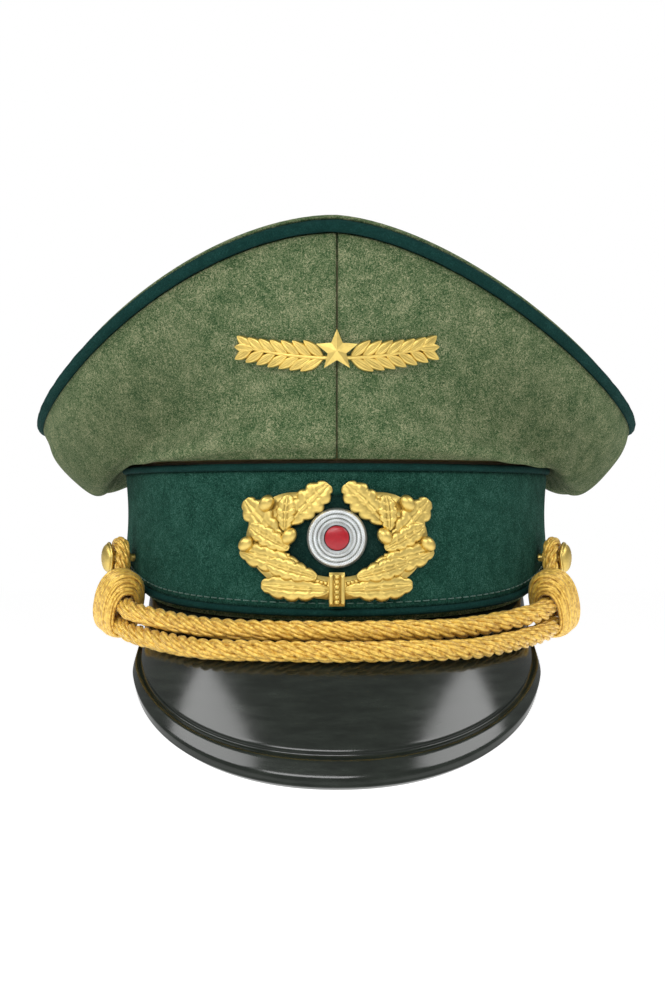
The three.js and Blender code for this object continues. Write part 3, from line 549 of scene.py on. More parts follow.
def plain(name, colour, roughness, metallic=0.0, texture=900, strength=0.2, sheen=0.0):
    """A simple surface of slightly uneven colour and grain."""
    material, tree, shader = new_material(name)
    patches = noise(tree, object_place(tree), scale=texture, detail=3.0)
    darker = tuple(c * 0.8 for c in colour)
    tree.links.new(ramp(tree, patches, ((0.3, darker), (0.7, colour))), shader.inputs["Base Color"])
    settings(shader, Roughness=roughness, Metallic=metallic, Sheen_Weight=sheen)
    bump(tree, shader, patches, strength, distance=0.0003)
    return material


# wools are given as their dark, middle and pale shades
FIELD_GREY = wool("field_grey_wool", (0.014, 0.050, 0.016), (0.085, 0.138, 0.058), (0.34, 0.34, 0.20),
                  spread=0.085)
BOTTLE_GREEN = wool("bottle_green_wool", (0.002, 0.022, 0.014), (0.007, 0.050, 0.033), (0.04, 0.12, 0.09),
                    spread=0.09, sheen=0.03)
DARK_CLOTH = wool("dark_cloth", (0.001, 0.012, 0.010), (0.004, 0.024, 0.019), (0.02, 0.055, 0.045),
                  spread=0.09, sheen=0.02)
PIPING = wool("piping_cloth", (0.002, 0.022, 0.019), (0.004, 0.032, 0.027), (0.012, 0.055, 0.048),
              spread=0.10, sheen=0.02)
GOLD_CORD = thread("gold_cord", (0.82, 0.54, 0.085), (0.50, 0.27, 0.02))
GILT = metal("gilt_metal", (0.76, 0.57, 0.17), 0.44, darken=0.8)
SILVER = metal("silver_metal", (0.66, 0.69, 0.70), 0.45, darken=0.8)
FIBRE = lacquer("vulcan_fibre", (0.0075, 0.0105, 0.0075))
RED = plain("red_enamel", (0.36, 0.004, 0.012), 0.32)
LINING = plain("lining_satin", (0.42, 0.30, 0.11), 0.42, texture=1800, sheen=0.3)
LEATHER = plain("leather", (0.23, 0.10, 0.035), 0.5, texture=420, strength=0.5)
CELLULOID = plain("celluloid", (0.62, 0.55, 0.33), 0.12, texture=60, strength=0.05)
BOARD = plain("board", (0.18, 0.13, 0.08), 0.9)
STEEL = plain("spring_steel", (0.55, 0.56, 0.58), 0.35, metallic=1.0)
THREAD_GREEN = thread("stitching", (0.05, 0.13, 0.10), (0.02, 0.07, 0.05))


def place(piece, body="cap"):
    """Ties a piece to its body; it stands for the CAD node it is named after, if there is one."""
    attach(piece, body)
    node = piece.name.removesuffix(LOOK)
    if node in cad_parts:
        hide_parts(node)


# ---- crown

def soft_relief(angle, v):
    """How far the wall cloth stands in (+) or out (-), in millimetres, from its drawn surface."""
    turn = np.degrees(angle)
    forward = np.clip(np.cos(angle), 0, 1)
    valley_line = 0.50 - 0.0045 * np.abs(turn)
    valley = 4.2 * np.exp(-((v - valley_line) / 0.14) ** 2) * smoothstep(np.abs(turn), 4, 26) * forward
    roll = -3.4 * np.exp(-((v - 0.17) / 0.11) ** 2) * forward
    broad = 0.55 * np.sin(angle * 9 + 5 * v) * np.sin(v * 9 + angle * 3)
    ripple = (broad + 0.35 * np.sin(angle * 23 + v * 4)) * (0.35 + 0.65 * np.abs(np.sin(angle)))
    fade = smoothstep(v, 0.0, 0.10) * (1 - smoothstep(v, 0.90, 1.0))
    return (valley + roll + ripple) * fade


def painted_fold_shade(angle, v):
    """Painted shade on the wall cloth: darker along its valley towards the sides, and in thin strips at its
    top edge and at its seam to the band.
    """
    turn = np.abs(np.degrees(angle))
    turn = np.minimum(turn, 360 - turn)
    valley = np.exp(-((v - 0.58) / 0.34) ** 2) * smoothstep(turn, 8, 45) * (1 - smoothstep(turn, 95, 125))
    seam = np.exp(-((1 - v) / 0.05) ** 2) + np.exp(-(v / 0.05) ** 2)
    return np.clip(0.72 * valley + 0.3 * seam, 0, 1)


SEAM_RADIUS = 105  # turns an angle into millimetres along the wall
SEAM_DEPTH = 0.95
SEAM_WIDTH = 0.75


def wall_panel(name, start, end):
    """One panel of the wall between two upright seams, where its cloth turns in."""
    def at(angle, v, depth):
        off_seam = np.minimum(np.abs(angle - start), np.abs(angle - end)) * SEAM_RADIUS
        turned_in = SEAM_DEPTH * np.exp(-(off_seam / SEAM_WIDTH) ** 2)
        total = depth + soft_relief(angle, v) + turned_in
        return crown_wall(angle, v) - normals(crown_wall, angle, v) * total[..., None]

    gap = 0.15 / BAND_A
    edge_steps = np.array([0, 0.4, 0.8, 1.3, 2.0]) / SEAM_RADIUS
    middle = np.linspace(start + gap + 0.03, end - gap - 0.03, 64)
    us = np.concatenate([start + gap + edge_steps, middle, end - gap - edge_steps[::-1]])
    vs = np.linspace(0.001, 0.999, 64)
    piece = skin(name, at, CLOTH, us, vs, FIELD_GREY)
    # painted shade of the folds, stored on the mesh as its "fold" value
    shade = painted_fold_shade(*np.meshgrid(us, vs, indexing="ij"))
    fold = piece.data.attributes.new("fold", "FLOAT", "POINT")
    fold.data.foreach_set("value", np.concatenate([shade, shade[:, ::-1]], axis=1).ravel())
    place(piece)


def crown():
    """The four wall panels and the top."""
    quarter = math.pi / 2
    wall_panel("crown_front_left_panel", -quarter, 0)
    wall_panel("crown_front_right_panel", 0, quarter)
    wall_panel("crown_rear_right_panel", quarter, 2 * quarter)
    wall_panel("crown_rear_left_panel", -2 * quarter, -quarter)
    insets = np.concatenate([np.linspace(0.4, 8, 14), np.linspace(10, 40, 12), np.linspace(46, 128, 16)])
    angles = np.linspace(0, 2 * np.pi, 192, endpoint=False)
    piece = skin("crown_top_panel", top_cloth, CLOTH, angles, insets, FIELD_GREY, closed=True)
    place(piece)


def top_cloth(angle, inset, depth):
    """The top with its shallow waves; its middle is made level, where the surface's own normals fail."""
    waves = 0.5 * np.sin(angle * 7 + inset / 11)
    waves = waves * smoothstep(inset, 4, 20) * (1 - smoothstep(inset, 60, 110))
    normal = normals(crown_top, angle, np.minimum(inset, INSET_MOST))
    level = smoothstep(inset, FLAT_FROM, FLAT_TO)[..., None]
    normal = lerp(normal * np.sign(normal[..., 2:3]), np.array((0, 0, 1.0)), level)
    return crown_top(angle, inset) - normal * (depth + waves)[..., None]


def stiffener():
    """The board behind the front of the crown, bent as the cloth over it is."""
    gap, thickness = 1.1, 1.2
    reach = math.radians(37)

    def at(angle, v, depth):
        behind = CLOTH + gap + soft_relief(angle, v) + depth
        return crown_wall(angle, v) - normals(crown_wall, angle, v) * behind[..., None]

    angles = np.linspace(-reach, reach, 40)
    piece = skin("front_stiffener", at, thickness, angles, np.linspace(0.07, 0.88, 24), BOARD)
    place(piece)


def edge_wire():
    """The spring wire just inside the crown's edge."""
    inset, below, radius = 4.6, 2.9, 1.0
    angles = np.linspace(0, 2 * np.pi, 240, endpoint=False)
    path = crown_top(angles, inset + 0 * angles) - np.array((0, 0, below))
    points, faces = tube_parts(path, radius, 10, closed=True)
    wire = mesh_object("crown_edge_wire", points, faces, STEEL)
    place(wire)


def piping(name, centre, radius):
    """A round cord under cloth, with the faint twist of its bias cut."""
    angles = np.linspace(0, 2 * np.pi, 480, endpoint=False)
    wobble = radius * (1 + 0.02 * np.sin(angles * 61) + 0.015 * np.sin(angles * 97 + 1))
    points, faces = tube_parts(centre(angles), wobble, 14, closed=True)
    place(mesh_object(name, points, faces, PIPING))


# ---- band

def band_layer(name, out, thickness, low, high, waist, material, rows):
    """A layer of the band between two heights; waist is how far its sides are drawn in."""
    def at(angle, v, depth):
        drawn_in = waist * np.sin(np.pi * v) * np.abs(np.sin(angle)) ** 4
        rounded = 0.35 * (np.exp(-(v / 0.03) ** 2) + np.exp(-((1 - v) / 0.03) ** 2))
        return band_point(angle, out - depth - drawn_in - rounded, lerp(low(angle), high + 0 * angle, v))

    angles = np.linspace(0, 2 * np.pi, 240, endpoint=False)
    piece = skin(name, at, thickness, angles, np.linspace(0, 1, rows), material, closed=True)
    place(piece)


def cloth_low(angle):
    """Height of the band cloth's lower edge, just above the lower piping."""
    return lower_piping(angle) + PIPING_R - 0.2


def band():
    """The band's cloth and underlay, its sewing, both pipings and the one on the crown's edge."""
    band_layer("band_cloth", out=0, thickness=0.9, low=cloth_low, high=BAND_TOP - PIPING_R + 0.2, waist=1.0,
               material=BOTTLE_GREEN, rows=24)
    band_layer("band_underlay", out=-1.7, thickness=0.7, low=lower_edge, high=BAND_TOP - 2, waist=0,
               material=FIELD_GREY, rows=8)
    stitches()
    piping("upper_band_piping", lambda angle: band_point(angle, 0, BAND_TOP), PIPING_R)
    piping("lower_band_piping", lambda angle: band_point(angle, 0, lower_piping(angle)), PIPING_R)
    piping("crown_edge_piping", crown_edge, EDGE_R)
    sweatband()


def stitches():
    """A row of sewn dashes round the band, just above the lower piping."""
    pitch, dash, steps = 3.4, 2.3, 6
    thread_radius, arch, above = 0.24, 0.22, 2.0
    parts = []
    angle = 0.0
    while angle < 2 * np.pi - 0.02:
        speed = math.hypot(BAND_A * math.cos(angle), BAND_B * math.sin(angle))
        turns = np.linspace(angle, angle + dash / speed, steps)
        lift = 0.02 + arch * np.sin(np.linspace(0, np.pi, steps))
        path = band_point(turns, lift, lower_piping(turns) + PIPING_R + above)
        parts.append(tube_parts(path, thread_radius, 6))
        angle += pitch / speed
    place(joined("band_stitches", parts, THREAD_GREEN))


def sweatband():
    """The leather band inside, with a rolled lower edge and fine creases above."""
    inside, thickness, below, top = 5.8, 0.8, 0.8, 42

    def at(angle, v, depth):
        roll = 0.15 * np.exp(-(v / 0.05) ** 2)
        crease = 0.12 * np.sin(angle * 40) * smoothstep(v, 0.75, 1.0)
        return band_point(angle, roll + crease - inside - depth, lerp(lower_edge(angle) - below, top, v))

    angles = np.linspace(0, 2 * np.pi, 200, endpoint=False)
    piece = skin("sweatband", at, thickness, angles, np.linspace(0, 1, 16), LEATHER, closed=True)
    place(piece)


# ---- visor

def visor_lip(u, v):
    """How far the raised lip along the outer edge stands up, with a groove inside it."""
    groove = np.exp(-((v - 0.852) / 0.012) ** 2)
    bead = smoothstep(v, 0.86, 0.895) * (1 - smoothstep(v, 0.955, 1.012))
    fade = 1 - smoothstep(np.abs(u), 0.8, 1.0)
    return fade * (1.5 * bead - 0.7 * groove)


def visor_flange(u, v, depth):
    """The flange from the root, v 0, to its top inside the band, v -1."""
    height = visor_root(u)[..., 2] - 0.8 * depth - FLANGE_HEIGHT * v
    return band_point(u * VISOR_TURN, -VISOR_INSET - 0.66 * depth, height)


def visor_at(u, v, depth):
    """A point of the visor; v is below 0 on the flange and above it on the sloping part."""
    down = np.where(depth > 0, depth, -visor_lip(u, v))
    slope_v = np.maximum(v, 0.02)
    sloped = visor_face(u, slope_v) + normals(visor_face, u, slope_v) * down[..., None]
    return np.where((v < 0.015)[..., None], visor_flange(u, v, depth), sloped)


def visor():
    """The moulded visor and its flange."""
    us = np.linspace(-1, 1, 161)
    vs = np.concatenate([[-1.0, -0.5, 0.0], np.linspace(0, 0.80, 36)[1:], np.linspace(0.81, 1.0, 30)])
    piece = skin("visor", visor_at, VISOR_THICKNESS, us, vs, FIBRE)
    bevel = piece.modifiers.new("edges", "BEVEL")
    bevel.width = 0.5 * MM
    bevel.segments = 3
    bevel.limit_method = "ANGLE"
    bevel.angle_limit = math.radians(50)
    place(piece)


# ---- chin cord

def rope_parts(path, radius, plies=4, yarns=4, pitch=20.0, hand=1):
    """A laid rope: plies round the middle, and in each ply several yarns twisted the other way."""
    path = np.asarray(path)
    run = run_along(path)
    ahead = np.gradient(path, axis=0)
    ahead /= np.linalg.norm(ahead, axis=1, keepdims=True)
    side = carried_sides(ahead)
    up = np.cross(ahead, side)
    ply_radius = radius * 0.46
    ply_turn = radius - ply_radius
    yarn_radius = ply_radius * 0.46
    yarn_turn = ply_radius - yarn_radius
    parts = []
    for p in range(plies):
        turn = hand * run * 2 * np.pi / pitch + 2 * np.pi * p / plies
        out = side * np.cos(turn)[:, None] + up * np.sin(turn)[:, None]
        around = np.cross(ahead, out)
        slope = hand * 2 * np.pi * ply_turn / pitch
        along = ahead + around * slope
        along /= np.linalg.norm(along, axis=1, keepdims=True)
        cross = np.cross(along, out)
        centre = path + out * ply_turn
        for y in range(yarns):
            twist = -hand * run * 2 * np.pi / (pitch * 0.60) + 2 * np.pi * y / yarns + p
            offset = out * np.cos(twist)[:, None] + cross * np.sin(twist)[:, None]
            parts.append(tube_parts(centre + offset * yarn_turn, yarn_radius, 6))
    parts.append(tube_parts(path, radius * 0.5, 8))
    return parts


def on_visor(angle, seat):
    """A strand's centre where it lies on the visor, a seat below the visor's root."""
    clear = 0.45
    u = np.array([angle / VISOR_TURN])
    length = np.linalg.norm(visor_face(u, np.array([1.0])) - visor_root(u))
    v = np.array([seat / length])
    return (visor_face(u, v) - normals(visor_face, u, v) * (CORD_R + clear))[0]


def strand_points(row):
    """The upper, 0, or lower, 1, strand from the right knot to the left one."""
    height = STRAND_PITCH * (0.5 - row)
    seat = CORD_SEAT + row * (STRAND_PITCH + STRAND_SPREAD)
    run = [tuple(through(knot_matrix(1), (x, 0, height))) for x in (-1, -7, -14)]
    nest = [tuple(on_visor(angle, seat + CORD_DROOP * (angle / DROOP_ANGLE) ** 2))
            for angle in (DROOP_ANGLE, DROOP_ANGLE / 2)]
    right = run + nest
    middle = tuple(on_visor(0.0, seat))
    return right + [middle] + [(-x, y, z) for x, y, z in reversed(right)]


def loop_points(side):
    """The loop from the knot, round the button's shank and back to the knot."""
    knot, button = knot_matrix(side), frame_on_band(BUTTON_ANGLE, 5.0, BUTTON_Z, side)
    turn = SHANK_R + LOOP_R + 0.6
    half = STRAND_PITCH / 2
    arc = [through(button, (turn * math.cos(angle), 0, turn * math.sin(angle)))
           for angle in np.radians((180, 130, 85, 40, 0, -35))]
    return [
        through(knot, (-0.1, 0, half)),
        through(knot, (3.9, 0.2, half + 0.6)),
        through(button, (-turn - 2, -1.2, -6)),
        *arc,
        through(button, (-2.5, -1.6, -12.5)),
        through(knot, (3.9, 0.2, -half)),
        through(knot, (-0.1, 0, -half)),
    ]


def chin_cord():
    """Both strands, and on each side a loop, a slide knot and a button."""
    for row, name in enumerate(("chin_cord_upper", "chin_cord_lower")):
        path = smooth_path(strand_points(row), 0.55)
        rope = joined(name, rope_parts(path, CORD_R), GOLD_CORD)
        place(rope, "chin_cord")
    for side, word in ((1, "right"), (-1, "left")):
        path = smooth_path(loop_points(side), 0.5)
        loop = joined(f"{word}_cord_loop", rope_parts(path, LOOP_R, pitch=15, hand=side), GOLD_CORD)
        place(loop, "chin_cord")
        slide_knot(side, word)
        side_button(side, word)


KNOT_SQUARE = 0.85  # below 1 the knot's ring is a little squarer than an oval
KNOT_LEAN = 0.28
KNOT_THREAD_R = 0.58

# the two layers of winding: how many turns, how far each turn leans, how far out it lies, where it starts
KNOT_WINDINGS = ((15, 0.05, 0.10, 0.0), (9, -0.10, 0.32, 1.9))


def knot_outline(share, turns, out=0.0):
    """A ring round the knot at a share, -1 front to 1 back, of its length.

    Its ends draw in to the strands, and the upper lip leans towards the front.
    """
    share = np.asarray(share, dtype=float)
    closing = np.where(share < 0, smoothstep(-share, 0.25, 1.0), smoothstep(share, 0.45, 1.0)) ** 1.6
    half_y = lerp(KNOT_HALF[1] - 1.0, CORD_R + 1.3, closing) + out
    half_z = lerp(KNOT_HALF[2] - 1.0, 2 * CORD_R + 1.4, closing) + out
    raised = lerp(KNOT_RAISED, 0.8, closing)
    c, s = np.cos(turns), np.sin(turns)
    y = np.sign(c) * np.abs(c) ** KNOT_SQUARE * half_y
    z = np.sign(s) * np.abs(s) ** KNOT_SQUARE * half_z
    ends = np.sign(share) * (1 - (1 - np.abs(share)) ** 1.35)
    return stack(ends * (KNOT_HALF[0] - 0.6) - KNOT_LEAN * z, y, raised + z)


def slide_knot(side, word):
    """A hood of wound thread over both strands."""
    matrix = knot_matrix(side)
    turns = np.linspace(0, 2 * np.pi, 48, endpoint=False)
    shares = np.linspace(-1, 1, 21)
    outer = [knot_outline(share, turns, -0.4) for share in shares]
    inner = [knot_outline(share, turns, -1.3) for share in shares]
    shell = np.array(outer + inner[::-1])
    parts = [loft_parts(through(matrix, shell.reshape(-1, 3)).reshape(shell.shape), along=True)]
    for count, lean, out, phase in KNOT_WINDINGS:
        t = np.linspace(0, 2 * np.pi * count, count * 60)
        share = np.linspace(-0.97, 0.97, len(t)) + lean * np.sin(t + phase) + 0.02 * np.sin(t * 0.37)
        ring = knot_outline(np.clip(share, -0.99, 0.99), t, out)
        parts.append(tube_parts(through(matrix, ring), KNOT_THREAD_R, 6))
    knot = joined(f"{word}_knot", parts, GOLD_CORD)
    place(knot, f"{word}_slide_knot")


def lathe_rings(profile, sides, wave=None):
    """Rings of a turned piece about -Y; profile is (radius, out) pairs; wave(turns, radius) adds to out."""
    turns = np.linspace(0, 2 * np.pi, sides, endpoint=False)
    rings = []
    for radius, out in profile:
        extra = wave(turns, radius) if wave else 0
        rings.append(stack(radius * np.cos(turns), -(out + extra), radius * np.sin(turns)))
    return rings


def side_button(side, word):
    """A domed button with a rolled rim and a pebbled face."""
    matrix = frame_on_band(BUTTON_ANGLE, 0, BUTTON_Z, side)
    rim = [(0.05, 0), (5.2, 0), (5.9, 0.35), (6.0, 0.75), (5.75, 1.15), (5.45, 1.05)]
    dome = [(5.3 * math.cos(a), 1.1 + 2.3 * math.sin(a)) for a in np.linspace(0, math.pi / 2 - 0.02, 22)]
    profile = [(radius, BUTTON_BACK + out) for radius, out in rim + dome]

    def pebbles(turns, radius):
        if radius >= 5.2:
            return 0 * turns
        return 0.11 * np.sin(turns * round(radius * 5) + radius * 9) * np.sin(radius * 11)

    points, faces = loft_parts(lathe_rings(profile, 72, pebbles))
    head = mesh_object(f"{word}_side_button", through(matrix, points), faces, GILT)
    place(head)


# ---- badges

def on_band(flat):
    """Lays flat badge points (x, out, z) on the front of the band."""
    x, out, z = np.asarray(flat).T
    return band_point(np.arcsin(x / BAND_A), out, z)


def on_crown(flat):
    """Lays flat badge points (x, out, z) on the front of the crown's wall."""
    x, out, z = np.asarray(flat).T
    angle, v = np.arcsin(x / CROWN_A)[None], ((z - SEAM_Z) / (CROWN_FRONT - SEAM_Z))[None]
    for _ in range(12):
        point = crown_wall(angle, v)
        angle = angle + (x - point[..., 0]) / BAND_A
        v = v + (z - point[..., 2]) / (CROWN_FRONT - SEAM_Z)
    return (crown_wall(angle, v) + normals(crown_wall, angle, v) * out[None, :, None])[0]


def leaf_outline(along, lobes):
    """Half width of a leaf, as a share, from its stalk, 0, to its tip, 1; 0 lobes gives a plain leaf."""
    if lobes:
        blunt = np.sin(np.pi * np.clip(along ** 1.25 * 0.97 + 0.015, 0, 1)) ** 0.42
        return blunt * (0.74 + 0.26 * np.abs(np.sin(np.pi * (lobes - 0.5) * along)) ** 0.6)
    pointed = np.sin(np.pi * np.clip(along * 0.96 + 0.03, 0, 1)) ** 0.62
    return pointed * (0.75 + 0.25 * np.sin(np.pi * along * 0.9))


def leaf_relief(along, across, lobes, lift):
    """How far a leaf's face stands out: a dome, a raised midrib between hollows, and side veins."""
    swell = np.sin(np.pi * np.clip(along, 0.03, 0.97)) ** 0.4
    dome = lift * (1 - np.abs(across) ** 5) * swell * (0.80 + 0.20 * np.abs(across) ** 2)
    relief = 0.42 * np.exp(-(across / 0.08) ** 2) - 0.30 * np.exp(-((np.abs(across) - 0.20) / 0.09) ** 2)
    if lobes:
        beat = (lobes - 0.5) * along - 0.55 * np.abs(across) + 0.25
        vein = np.exp(-((beat % 1 - 0.5) / 0.11) ** 2)
        relief = relief + 0.30 * vein * np.clip(1.15 - np.abs(across), 0, 1)
    return dome + relief * np.sin(np.pi * along) ** 0.5


LEAF_EDGE = 0.35  # thickness of a leaf at its edge


def leaf_parts(base, heading, length, width, lobes, back, lift, curl=0.0):
    """A leaf from its stalk at base, (x, z), as flat points (x, out, z)."""
    rows, columns = (60, 25) if lobes else (30, 13)
    along, across = np.meshgrid(np.linspace(0, 1, rows), np.linspace(-1, 1, columns), indexing="ij")
    out = back + LEAF_EDGE + leaf_relief(along, across, lobes, lift)
    sideways = across * width / 2 * leaf_outline(along, lobes) + curl * along ** 2 * length
    x = base[0] + along * length * math.cos(heading) - sideways * math.sin(heading)
    z = base[1] + along * length * math.sin(heading) + sideways * math.cos(heading)
    rings = np.concatenate([stack(x, out, z), stack(x, np.full_like(out, back), z)[:, ::-1]], axis=1)
    return loft_parts(rings)


def ball_parts(centre, radius, out, stretch=1.0, heading=0.0):
    """A berry or nut: a round body, longer along its heading."""
    turns = np.linspace(0, 2 * np.pi, 20, endpoint=False)
    rings = []
    for lift in np.linspace(-0.2, math.pi / 2 - 0.03, 10):
        r = radius * math.cos(lift)
        across, along = r * np.cos(turns), r * np.sin(turns) * stretch
        x = centre[0] + across * math.cos(heading) - along * math.sin(heading)
        z = centre[1] + across * math.sin(heading) + along * math.cos(heading)
        rings.append(stack(x, out + radius * math.sin(lift), z))
    return loft_parts(rings)


def bent(parts, lay):
    """Flat parts laid on the cap by on_band or on_crown."""
    return [(lay(points), faces) for points, faces in parts]


# one branch, from the middle of the wreath: each leaf's stalk, heading in degrees, length, width, and how
# far it stands over the plate; each berry's centre and radius
BRANCH_LEAVES = (
    ((2.4, -17.0), 1, 22.5, 9.4, 0.1),
    ((6.5, -12.6), 14, 17.5, 8.0, 1.2),
    ((12.0, -9.0), 12, 20.5, 9.6, 0.5),
    ((15.5, -3.0), 28, 15.0, 7.8, 1.2),
    ((18.0, -1.0), 47, 19.0, 10.0, 0.3),
    ((16.8, 3.2), 92, 12.0, 7.0, 1.1),
    ((15.6, 5.6), 131, 18.5, 10.4, 0.5),
)
BRANCH_BERRIES = (((15.4, 1.2), 2.3), ((22.8, 12.4), 2.3), ((29.6, -1.6), 2.2))


def wreath():
    """Two branches of lobed leaves that rise from a bound stem at the bottom."""
    parts = []
    for side in (-1, 1):
        for (x, z), turn, length, width, over in BRANCH_LEAVES:
            heading = math.radians(turn if side > 0 else 180 - turn)
            stalk = (side * x, WREATH_Z + z)
            parts.append(leaf_parts(stalk, heading, length, width, lobes=5, back=METAL_BACK + over,
                                    lift=1.5, curl=0.05 * side))
        for (x, z), radius in BRANCH_BERRIES:
            centre = (side * x, WREATH_Z + z)
            parts.append(ball_parts(centre, radius, METAL_BACK + 1.7, stretch=1.35, heading=side * 0.5))
        parts.append(branch_plate(side))
        parts.extend(bead_row(side))
    parts.extend(wreath_stem())
    piece = joined("wreath", bent(parts, on_band), GILT)
    place(piece)


def branch_plate(side):
    """The plate that the leaves of one branch are struck on."""
    middle, half, thickness = 0.74, 0.17, 0.7
    rings = []
    for turn in np.radians(np.linspace(4, 158, 60)):
        taper = half * math.sin(min(1.0, (math.radians(162) - turn) / 0.5) * math.pi / 2)
        section = ((middle - taper, 0), (middle - taper, thickness), (middle + taper, thickness),
                   (middle + taper, 0))
        rings.append([(side * WREATH_A * share * math.sin(turn), METAL_BACK + out,
                       WREATH_Z - WREATH_B * share * math.cos(turn)) for share, out in section])
    return loft_parts(rings)


def bead_row(side):
    """Small beads along the inner edge of the branch."""
    half_width, half_height, raised, radius = 17.4, 16.4, 1.5, 0.72
    beads = []
    for angle in np.radians(np.linspace(12, 66, 13)):
        x, z = half_width * math.sin(angle), raised - half_height * math.cos(angle)
        beads.append(ball_parts((side * x, WREATH_Z + z), radius, METAL_BACK + 1.2))
    return beads


def wreath_stem():
    """The bound foot of the wreath: two upright bars with a row of beads between."""
    parts = []
    foot = WREATH_Z - WREATH_B
    for x in (-1.9, 1.9):
        path = [(x, METAL_BACK + 2.0, foot + t) for t in np.linspace(0.4, 10.6, 12)]
        parts.append(tube_parts(path, 0.7, 8))
    for z in np.linspace(1.2, 9.8, 6):
        parts.append(ball_parts((0, foot + z), 0.95, METAL_BACK + 1.7))
    block = [[(x, METAL_BACK + out, foot + z) for x, out in ((-2.5, 0), (-2.5, 1.7), (2.5, 1.7), (2.5, 0))]
             for z in (-0.2, 11.2)]
    parts.append(loft_parts(block))
    return parts


def backing():
    """The oval of dark cloth behind the wreath and the cockade."""
    half_width, half_height, lowered = 23, 15.5, 1
    turns = np.linspace(0, 2 * np.pi, 72, endpoint=False)
    rings = []
    for share, out in ((0.01, 1.1), (0.5, 1.15), (0.92, 1.2), (1.0, 0.9), (1.0, 0.35), (0.01, 0.35)):
        x, z = half_width * share * np.cos(turns), half_height * share * np.sin(turns)
        rings.append(stack(x, out, COCKADE_Z - lowered + z))
    points, faces = loft_parts(rings)
    cloth = mesh_object("wreath_backing", on_band(points), faces, DARK_CLOTH)
    place(cloth)


# the raised rings of the cockade: radius as a share of its own, height, half width as a share
COCKADE_RINGS = ((0.88, 1.3, 0.075), (0.725, 1.5, 0.07), (0.585, 1.75, 0.06))


def cockade():
    """A ribbed metal ring in three steps, with an enamelled boss at its middle."""
    matrix = frame_on_band(0.0, 0, COCKADE_Z)
    inner, outer = COCKADE_CENTRE_R + 0.3, COCKADE_R
    profile = [(inner, 0), (outer, 0), (outer, 0.6), (0.97 * outer, 1.0)]
    for share, height, half in COCKADE_RINGS:
        for lift in np.linspace(math.pi * 0.06, math.pi * 0.94, 9):
            profile.append(((share + half * math.cos(lift)) * outer, height + 0.75 * math.sin(lift)))
    profile.append((inner, 2.6))
    profile = [(radius, METAL_BACK + out) for radius, out in profile]

    def ribs(turns, radius):
        return 0.10 * np.sin(turns * 60 + radius * 5) if inner < radius < 0.96 * outer else 0 * turns

    points, faces = loft_parts(lathe_rings(profile, 480, ribs), along=True)
    ring = mesh_object("cockade_ring", through(matrix, points), faces, SILVER)
    place(ring)
    rim, step = COCKADE_CENTRE_R, 2.7
    dome = [(rim * math.cos(a), step + math.sin(a)) for a in np.linspace(0.1, math.pi / 2 - 0.02, 14)]
    profile = [(radius, METAL_BACK + out) for radius, out in [(0.05, 0), (rim, 0), (rim, step)] + dome]
    points, faces = loft_parts(lathe_rings(profile, 64))
    centre = mesh_object("cockade_centre", through(matrix, points), faces, RED)
    place(centre)


def branch_height(reach):
    """Height of a spray's stem at a distance from the middle."""
    return SPRAY_Z - 2.5 + 5 * (reach / 34) ** 2


def spray():
    """Two leafy branches that meet at the middle of the crown's front."""
    width, lift = 3.6, 1.2
    parts = []
    for side in (-1, 1):
        for k in range(7):
            reach = 4.5 + k * 4.0
            stalk = (side * reach, branch_height(reach))
            heading = 0.10 if side > 0 else math.pi - 0.10
            length = 8.8 - 0.35 * k
            back = 0.3 + 0.08 * (k % 2)
            for lean in (0.62, -0.62):
                parts.append(leaf_parts(stalk, heading + side * lean, length, width, 0, back, lift))
        tip_heading = 0.14 if side > 0 else math.pi - 0.14
        parts.append(leaf_parts((side * 27.5, SPRAY_Z + 0.9), tip_heading, 7.0, width, 0, 0.4, lift))
        path = [(side * x, 1.0, branch_height(x)) for x in np.linspace(0, 29, 24)]
        parts.append(tube_parts(path, np.linspace(0.8, 0.45, 24), 8))
    piece = joined("crown_badge_spray", bent(parts, on_crown), GILT)
    place(piece)
    place(star())


def star():
    """A faceted five-pointed boss."""
    tip, notch = 7.2, 3.2
    peak, edge, back = 3.9, 2.6, 2.0
    points = [(0, peak, SPRAY_Z)]
    for k in range(10):
        radius = tip if k % 2 == 0 else notch
        turn = math.pi / 2 + k * math.pi / 5
        points.append((radius * math.cos(turn), edge, SPRAY_Z + radius * math.sin(turn)))
    points += [(x, back, z) for x, _, z in points[1:]]
    faces = [(0, k + 1, (k + 1) % 10 + 1) for k in range(10)]
    faces += [(k + 1, k + 11, (k + 1) % 10 + 11, (k + 1) % 10 + 1) for k in range(10)]
    faces.append(tuple(range(20, 10, -1)))
    return mesh_object("crown_badge_star", on_crown(points), faces, GILT, smooth=False)


# ---- CAD nodes that stay

def repaint():
    """Pieces whose CAD shape is right get their finer material."""
    finishes = {
        "lining_top": LINING, "lining_wall": LINING, "sweat_shield": CELLULOID, "band_base_ring": BOARD,
    }
    for name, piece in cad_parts.items():
        material = finishes.get(name)
        if material is None and ("prong" in name or "shank" in name):
            material = SILVER if name.startswith("cockade") else GILT
        if material is not None:
            for k in range(len(piece.material_slots)):
                piece.material_slots[k].material = material


# ---- stage, light and camera

ROOM_LIGHT = 0.32  # the white room as the cap sees it; the camera sees it at 1
FLOOR_Z = -0.34
FLOOR_HALF = 6.0

# name, where it stands, what it points at, size and power: metres and watts
LIGHTS = (
    ("left_box", (-0.92, -0.42, 0.80), (0, -0.10, -0.03), (0.85, 0.42), 5.5),
    ("right_box", (0.92, -0.42, 0.80), (0, -0.10, -0.03), (0.85, 0.42), 5.5),
    ("front_box", (-0.30, -1.35, 0.80), (0, -0.08, 0.04), (1.1, 0.45), 11),
    ("back_box", (0.2, 1.3, 0.7), (0, 0.05, 0.03), (1.2, 0.7), 7),
)
CAMERA_AT = (-0.0015, -0.6475, 0.0334)
CAMERA_LENS = 57.4


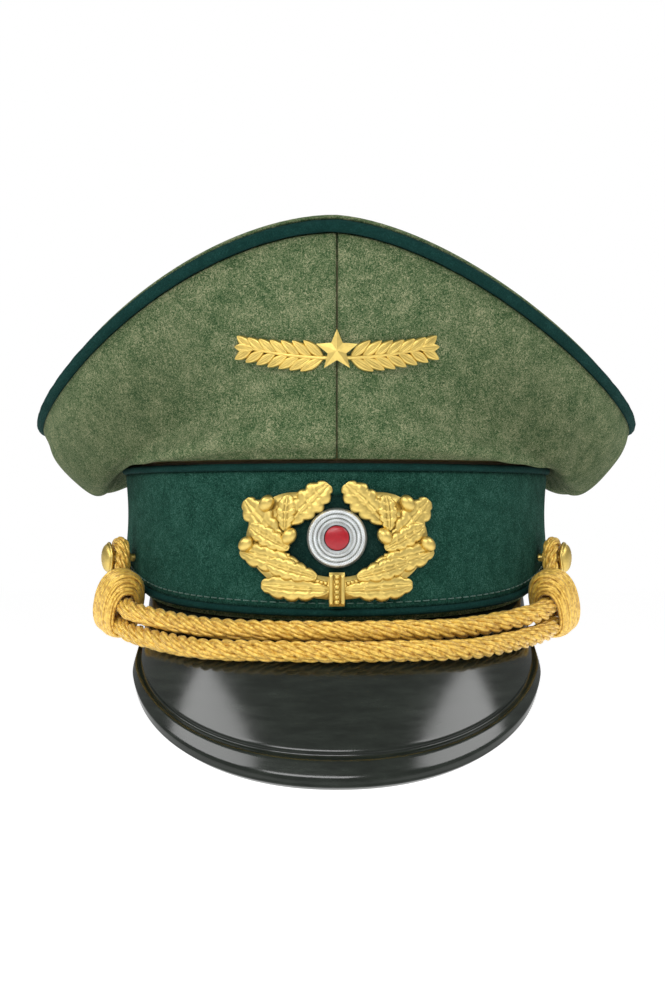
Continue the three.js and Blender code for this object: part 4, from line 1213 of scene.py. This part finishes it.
def floor():
    """A wide pale floor."""
    corners = [(x, y, 0) for x, y in ((-1, -1), (1, -1), (1, 1), (-1, 1))]
    mesh = bpy.data.meshes.new("floor")
    mesh.from_pydata((np.array(corners) * FLOOR_HALF).tolist(), [], [(0, 1, 2, 3)])
    piece = bpy.data.objects.new("floor", mesh)
    piece.location.z = FLOOR_Z
    bpy.context.scene.collection.objects.link(piece)
    material, _, shader = new_material("floor")
    settings(shader, Base_Color=(0.9, 0.9, 0.9, 1), Roughness=0.9, Emission_Color=(1, 1, 1, 1),
             Emission_Strength=0.7)
    mesh.materials.append(material)


def room():
    """A white room all round."""
    world = bpy.data.worlds.new("studio")
    bpy.context.scene.world = world
    world.use_nodes = True
    tree = world.node_tree
    backdrop = tree.nodes["Background"]
    backdrop.inputs["Color"].default_value = (1, 1, 1, 1)
    path = tree.nodes.new("ShaderNodeLightPath")
    level = tree.nodes.new("ShaderNodeMapRange")
    level.inputs["To Min"].default_value = ROOM_LIGHT
    level.inputs["To Max"].default_value = 1.0
    tree.links.new(path.outputs["Is Camera Ray"], level.inputs["Value"])
    tree.links.new(level.outputs["Result"], backdrop.inputs["Strength"])


def softbox(name, stands_at, target, size, power):
    """A rectangular studio light."""
    data = bpy.data.lights.new(name, "AREA")
    data.shape = "RECTANGLE"
    data.size, data.size_y = size
    data.energy = power
    lamp = bpy.data.objects.new(name, data)
    lamp.location = stands_at
    lamp.rotation_euler = (Vector(target) - Vector(stands_at)).to_track_quat("-Z", "Y").to_euler()
    bpy.context.scene.collection.objects.link(lamp)


def camera():
    """A level camera straight in front of the cap."""
    data = bpy.data.cameras.new("camera")
    data.sensor_width = 36
    data.lens = CAMERA_LENS
    data.clip_start = 0.01
    piece = bpy.data.objects.new("camera", data)
    piece.matrix_world = Matrix.Translation(CAMERA_AT) @ Matrix.Rotation(math.radians(90), 4, "X")
    bpy.context.scene.collection.objects.link(piece)
    bpy.context.scene.camera = piece


crown()
stiffener()
edge_wire()
band()
visor()
chin_cord()
wreath()
backing()
cockade()
spray()
repaint()
floor()
room()
for light in LIGHTS:
    softbox(*light)
camera()
bpy.context.scene.view_settings.view_transform = "Standard"
